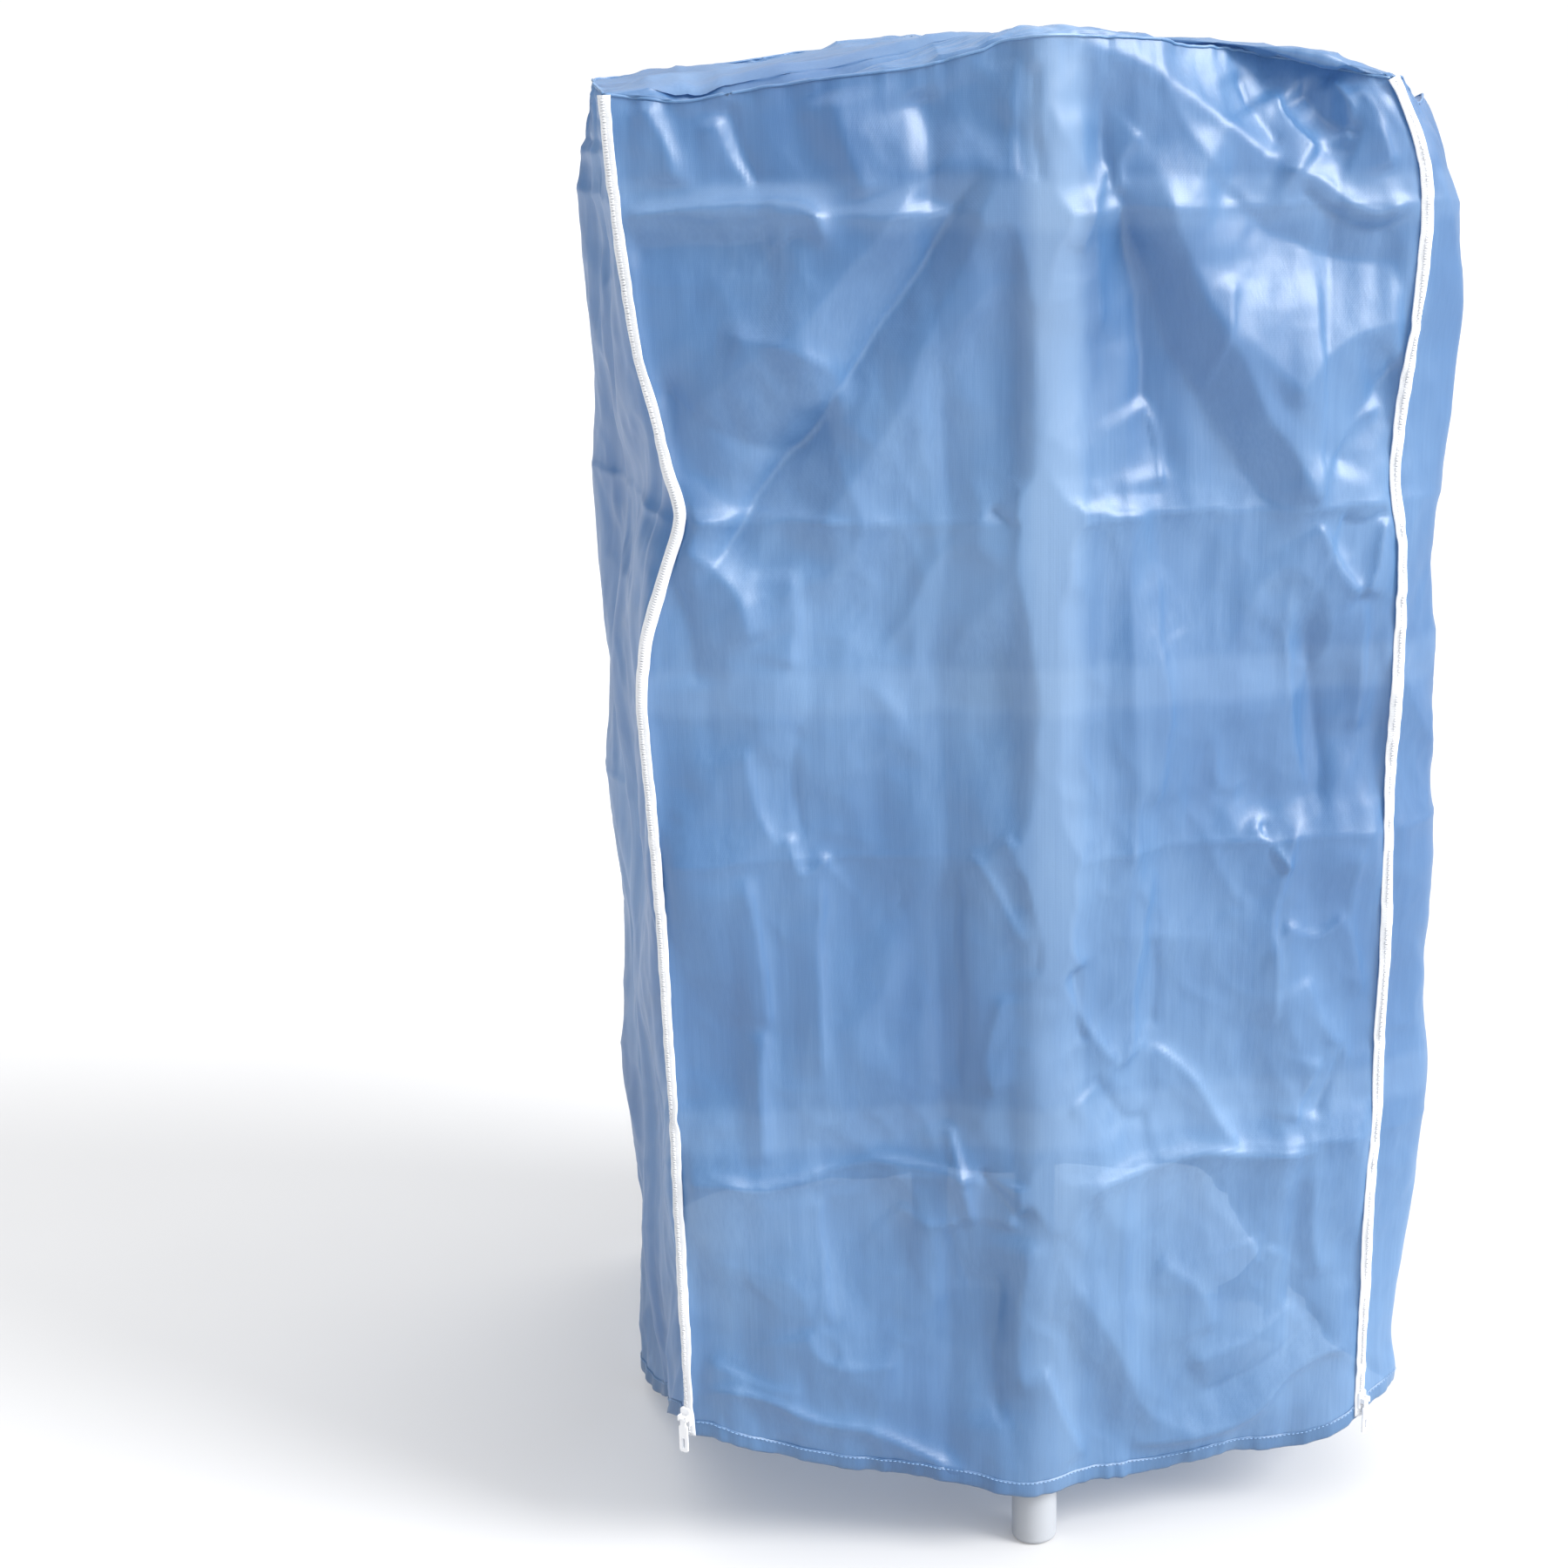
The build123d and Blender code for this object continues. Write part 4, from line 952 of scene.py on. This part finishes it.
def rows_cols(G, r0, r1, cols, name, mat):
    sub = G[r0:r1][:, cols]
    f = grid_faces(sub.shape[0], sub.shape[1], False)
    return mesh_from(name, sub, f, [mat])


fcols = list(range(0, FK[2] + 1))
bcols = list(range(FK[2], FU)) + [0]
front_ob = rows_cols(G, 0, FV, fcols, "cover_front", NYLON)
body_ob = rows_cols(G, 0, FV, bcols, "cover_body", NYLON)
tcols = list(range(FU)) + [0]
top_ob = rows_cols(G, FV - 1, FR, tcols, "cover_top", NYLON)


# ------------------------------------------------------------ strips and zips
def frames_along(line, nrm):
    t = np.gradient(line, axis=0)
    t /= np.maximum(np.linalg.norm(t, axis=1, keepdims=True), 1e-9)
    n = nrm - (nrm * t).sum(1, keepdims=True) * t
    n /= np.maximum(np.linalg.norm(n, axis=1, keepdims=True), 1e-9)
    b = np.cross(t, n)
    return t, n, b


def sweep(name, line, nrm, profile, mats, closed_profile=True, caps=True):
    """Sweep a profile of (across, out) points along a line."""
    t, n, b = frames_along(line, nrm)
    pr = np.array(profile, float)
    if pr.ndim == 2:
        pts = line[:, None, :] + b[:, None, :] * pr[None, :, 0:1] + n[:, None, :] * pr[None, :, 1:2]
    else:
        pts = line[:, None, :] + b[:, None, :] * pr[:, :, 0:1] + n[:, None, :] * pr[:, :, 1:2]
    m = pts.shape[1]
    f = grid_faces(len(line), m, closed_profile).tolist()
    if caps and closed_profile:
        f.append(list(range(m))[::-1])
        f.append([(len(line) - 1) * m + i for i in range(m)])
    return mesh_from(name, pts, f, mats)


NG = normals(G)
zips = {}
for side, k in (("left", 0), ("right", 2)):
    c = FK[k]
    line = G[:FV, c].copy()
    nl = NG[:FV, (c + 4) % FU] + NG[:FV, (c - 4) % FU]
    for _ in range(10):
        line[1:-1] = 0.25 * line[:-2] + 0.5 * line[1:-1] + 0.25 * line[2:]
        nl[1:-1] = 0.25 * nl[:-2] + 0.5 * nl[1:-1] + 0.25 * nl[2:]
    h = 0.0062
    prof = [(-h, 0.0004), (-h * 0.95, 0.0014), (-0.0030, 0.0016), (-0.0024, 0.0026), (0.0024, 0.0026), (0.0030, 0.0016), (h * 0.95, 0.0014), (h, 0.0004),
            (h * 0.9, -0.0006), (-h * 0.9, -0.0006)]
    wav = 0.0004 * value_noise(np.arange(FV) / 3.0, np.arange(FV) * 0.0, 90 + k)
    tp = sweep("zip_tape_" + side, line + wav[:, None] * nl, nl, prof, [TAPE])
    # coil: small rungs across the middle, every 2 mm
    seg = np.linalg.norm(np.diff(line, axis=0), axis=1)
    L = np.concatenate([[0], np.cumsum(seg)])
    m = int(L[-1] / 0.0022)
    at_ = np.linspace(0.004, L[-1] - 0.004, m)
    cl = np.stack([np.interp(at_, L, line[:, q]) for q in range(3)], 1)
    nn = np.stack([np.interp(at_, L, nl[:, q]) for q in range(3)], 1)
    t, n, b = frames_along(cl, nn)
    vs, fs = [], []
    for i in range(m):
        o = cl[i] + n[i] * 0.0030
        q = [(-0.0023, -0.0004, 0), (-0.0021, 0.0006, 0.0005), (0.0021, 0.0006, 0.0005), (0.0023, -0.0004, 0)]
        base_i = len(vs)
        for (aa, oo, _) in q:
            for dt in (-0.0007, 0.0007):
                sgn = 1 if i % 2 else -1
                vs.append(o + b[i] * aa + n[i] * oo + t[i] * (dt + sgn * aa * 0.12))
        for r in range(3):
            a0 = base_i + 2 * r
            fs.append([a0, a0 + 2, a0 + 3, a0 + 1])
        fs.append([base_i, base_i + 1, base_i + 7, base_i + 6])
        fs.append([base_i, base_i + 6, base_i + 4, base_i + 2])
        fs.append([base_i + 1, base_i + 3, base_i + 5, base_i + 7])
    co = mesh_from("zip_coil_" + side, np.array(vs), fs, [TAPE])
    zips[side] = (tp, co, line)

pieces = [front_ob, body_ob, top_ob]
for tp, co, _ in zips.values():
    pieces += [tp, co]

# hem: a folded band along the lower edge, with a row of stitches
STITCH = plastic("stitch_thread", (0.26, 0.42, 0.66), 0.6, 500, 0.1, 0.05)


def band(name, cols, mat, height, out, r0=0):
    edge = G[r0, cols]
    nrm = NG[r0 + 2, cols]
    t, n, b = frames_along(edge, nrm)
    upv = G[r0 + 5, cols] - edge
    upv /= np.linalg.norm(upv, axis=1, keepdims=True)
    prof = [(0.0, out), (0.25, out * 1.35), (0.75, out * 1.25), (1.0, out * 0.6), (1.0, 0.0002), (0.5, -out * 0.5), (-0.04, -out * 0.6), (-0.12, 0.0)]
    pk = value_noise(np.arange(len(cols)) / 1.6, np.zeros(len(cols)), 44) * 0.00035
    pts = np.stack([edge + upv * (height * a) + n * (o + (pk[:, None] if o > 0 else 0)) for a, o in prof], 1)
    f = grid_faces(len(cols), len(prof), True).tolist()
    f.append(list(range(len(prof)))[::-1])
    f.append([(len(cols) - 1) * len(prof) + i for i in range(len(prof))])
    return mesh_from(name, pts, f, [mat])


def stitches(name, line, nrm, pitch, length, r, mat):
    seg = np.linalg.norm(np.diff(line, axis=0), axis=1)
    L = np.concatenate([[0], np.cumsum(seg)])
    m = max(2, int(L[-1] / pitch))
    at_ = np.linspace(pitch, L[-1] - pitch, m)
    cl = np.stack([np.interp(at_, L, line[:, q]) for q in range(3)], 1)
    nn = np.stack([np.interp(at_, L, nrm[:, q]) for q in range(3)], 1)
    t, n, b = frames_along(cl, nn)
    vs, fs = [], []
    for i in range(m):
        k0 = len(vs)
        for a, hgt in ((-0.5, -0.2), (-0.25, 0.9), (0.25, 0.9), (0.5, -0.2)):
            for s_ in (-1, 1):
                vs.append(cl[i] + t[i] * a * length + n[i] * hgt * r + b[i] * s_ * r)
        for q in range(3):
            a0 = k0 + 2 * q
            fs.append([a0, a0 + 2, a0 + 3, a0 + 1])
        fs.append([k0, k0 + 6, k0 + 4, k0 + 2])
        fs.append([k0 + 1, k0 + 3, k0 + 5, k0 + 7])
        fs.append([k0, k0 + 1, k0 + 7, k0 + 6])
    return mesh_from(name, np.array(vs), fs, [mat])


hem_front = band("hem_front", fcols, HEM, 0.014, 0.0007)
hem_body = band("hem_body", bcols, HEM, 0.014, 0.0007)
pieces += [hem_front, hem_body]
for nm, cols in (("front", fcols), ("body", bcols)):
    upv = G[5, cols] - G[0, cols]
    upv /= np.linalg.norm(upv, axis=1, keepdims=True)
    ln = G[0, cols] + upv * 0.0125 + NG[2, cols] * 0.0012
    pieces.append(stitches("hem_stitches_" + nm, ln, NG[2, cols], 0.0042, 0.0030, 0.00035, STITCH))

# top seam: a narrow corded ridge all the way round
ring = list(range(FU)) + [0]
edge = G[FV - 1, ring]
nr = NG[FV - 4, ring] + NG[min(FR - 1, FV + 3), ring]
ang = [2 * math.pi * i / 8 for i in range(8)]
cord_r = 0.0012
pieces.append(sweep("top_seam", edge, nr, [(cord_r * math.cos(a), 0.0006 + cord_r * math.sin(a)) for a in ang], [SEAM]))

# ----------------------------------------------------------- ride on the cover body, hide the CAD cover
for p in pieces:
    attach(p, "cover")
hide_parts("cover_front_panel")
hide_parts("cover_left_panel", "cover_right_panel", "cover_back_panel")
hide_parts("cover_top_panel")
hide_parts("cover_zip_left")
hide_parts("cover_zip_right")
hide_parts("cover_hem")

# -------------------------------------------------------------- stage, light
fm = Mat("floor_white")
fp = fm.n("BsdfPrincipled")
fn = fm.noise(fm.mapped((1, 1, 1)), 1.5, 2, 0.5)
fm.l(fm.ramp(fn, [(0.3, (0.50, 0.50, 0.503)), (0.7, (0.52, 0.52, 0.523))]), fp.inputs["Base Color"])
fp.inputs["Roughness"].default_value = 0.8
fp.inputs["Specular IOR Level"].default_value = 0.1
fp.inputs["Emission Color"].default_value = (1, 1, 1, 1)
fp.inputs["Emission Strength"].default_value = 0.16
fm.l(fp.outputs[0], fm.out.inputs[0])
floor = mesh_from("floor", [(-40, -40, 0), (40, -40, 0), (40, 40, 0), (-40, 40, 0)], [[0, 1, 2, 3]], [fm.m], False)

# the sky that lights and reflects is brighter above and to the right;
# straight into the lens it is plain white
w = bpy.data.worlds.new("studio")
sc.world = w
w.use_nodes = True
wt = w.node_tree
wt.nodes.clear()
wo = wt.nodes.new("ShaderNodeOutputWorld")
co = wt.nodes.new("ShaderNodeTexCoord")
sp = wt.nodes.new("ShaderNodeSeparateXYZ")
wt.links.new(co.outputs["Generated"], sp.inputs[0])
ma = wt.nodes.new("ShaderNodeMath")
ma.operation = "MULTIPLY_ADD"
ma.inputs[1].default_value = 0.30
wt.links.new(sp.outputs[0], ma.inputs[0])
wt.links.new(sp.outputs[2], ma.inputs[2])
rp = wt.nodes.new("ShaderNodeValToRGB")
for pos_, val in ((0.30, 0.55), (0.62, 1.9)):
    e_ = rp.color_ramp.elements.new(pos_)
    e_.color = (val, val, val * 1.01, 1)
rp.color_ramp.elements[0].position = 0.0
rp.color_ramp.elements[0].color = (0.13, 0.14, 0.16, 1)
rp.color_ramp.elements[-1].position = 1.0
rp.color_ramp.elements[-1].color = (2.1, 2.1, 2.1, 1)
wt.links.new(ma.outputs[0], rp.inputs[0])
b1 = wt.nodes.new("ShaderNodeBackground")
b1.inputs[1].default_value = WORLD_LIGHT
wt.links.new(rp.outputs[0], b1.inputs[0])
b2 = wt.nodes.new("ShaderNodeBackground")
b2.inputs[0].default_value = (1, 1, 1, 1)
b2.inputs[1].default_value = 1.02
lp = wt.nodes.new("ShaderNodeLightPath")
mw = wt.nodes.new("ShaderNodeMixShader")
wt.links.new(lp.outputs["Is Camera Ray"], mw.inputs[0])
wt.links.new(b1.outputs[0], mw.inputs[1])
wt.links.new(b2.outputs[0], mw.inputs[2])
wt.links.new(mw.outputs[0], wo.inputs[0])


def area(name, loc, aim, size, power, color=(1, 1, 1), size_y=None):
    d = bpy.data.lights.new(name, "AREA")
    d.shape = "RECTANGLE"
    d.size = size
    d.size_y = size_y or size
    d.energy = power
    d.color = color
    o = bpy.data.objects.new(name, d)
    sc.collection.objects.link(o)
    o.location = loc
    o.rotation_euler = (Vector(aim) - Vector(loc)).to_track_quat("-Z", "Y").to_euler()
    return o


sd = bpy.data.lights.new("key_sun", "SUN")
sd.energy = SUN
sd.angle = math.radians(24)
so = bpy.data.objects.new("key_sun", sd)
sc.collection.objects.link(so)
so.rotation_euler = Vector((-0.70, 0.42, -0.58)).to_track_quat("-Z", "Y").to_euler()
area("strip_right", (1.7, -2.3, 2.2), (0, -0.3, 0.8), 0.9, 8, (1, 1, 1), 1.6)
area("low_front", (1.3, -2.3, 0.35), (0.15, -0.35, 0.25), 1.2, 3.5, (1, 1, 1), 0.4)
area("strip_left", (-2.3, -1.3, 1.7), (0, -0.3, 0.9), 0.50, 5, (0.93, 0.96, 1), 1.6)
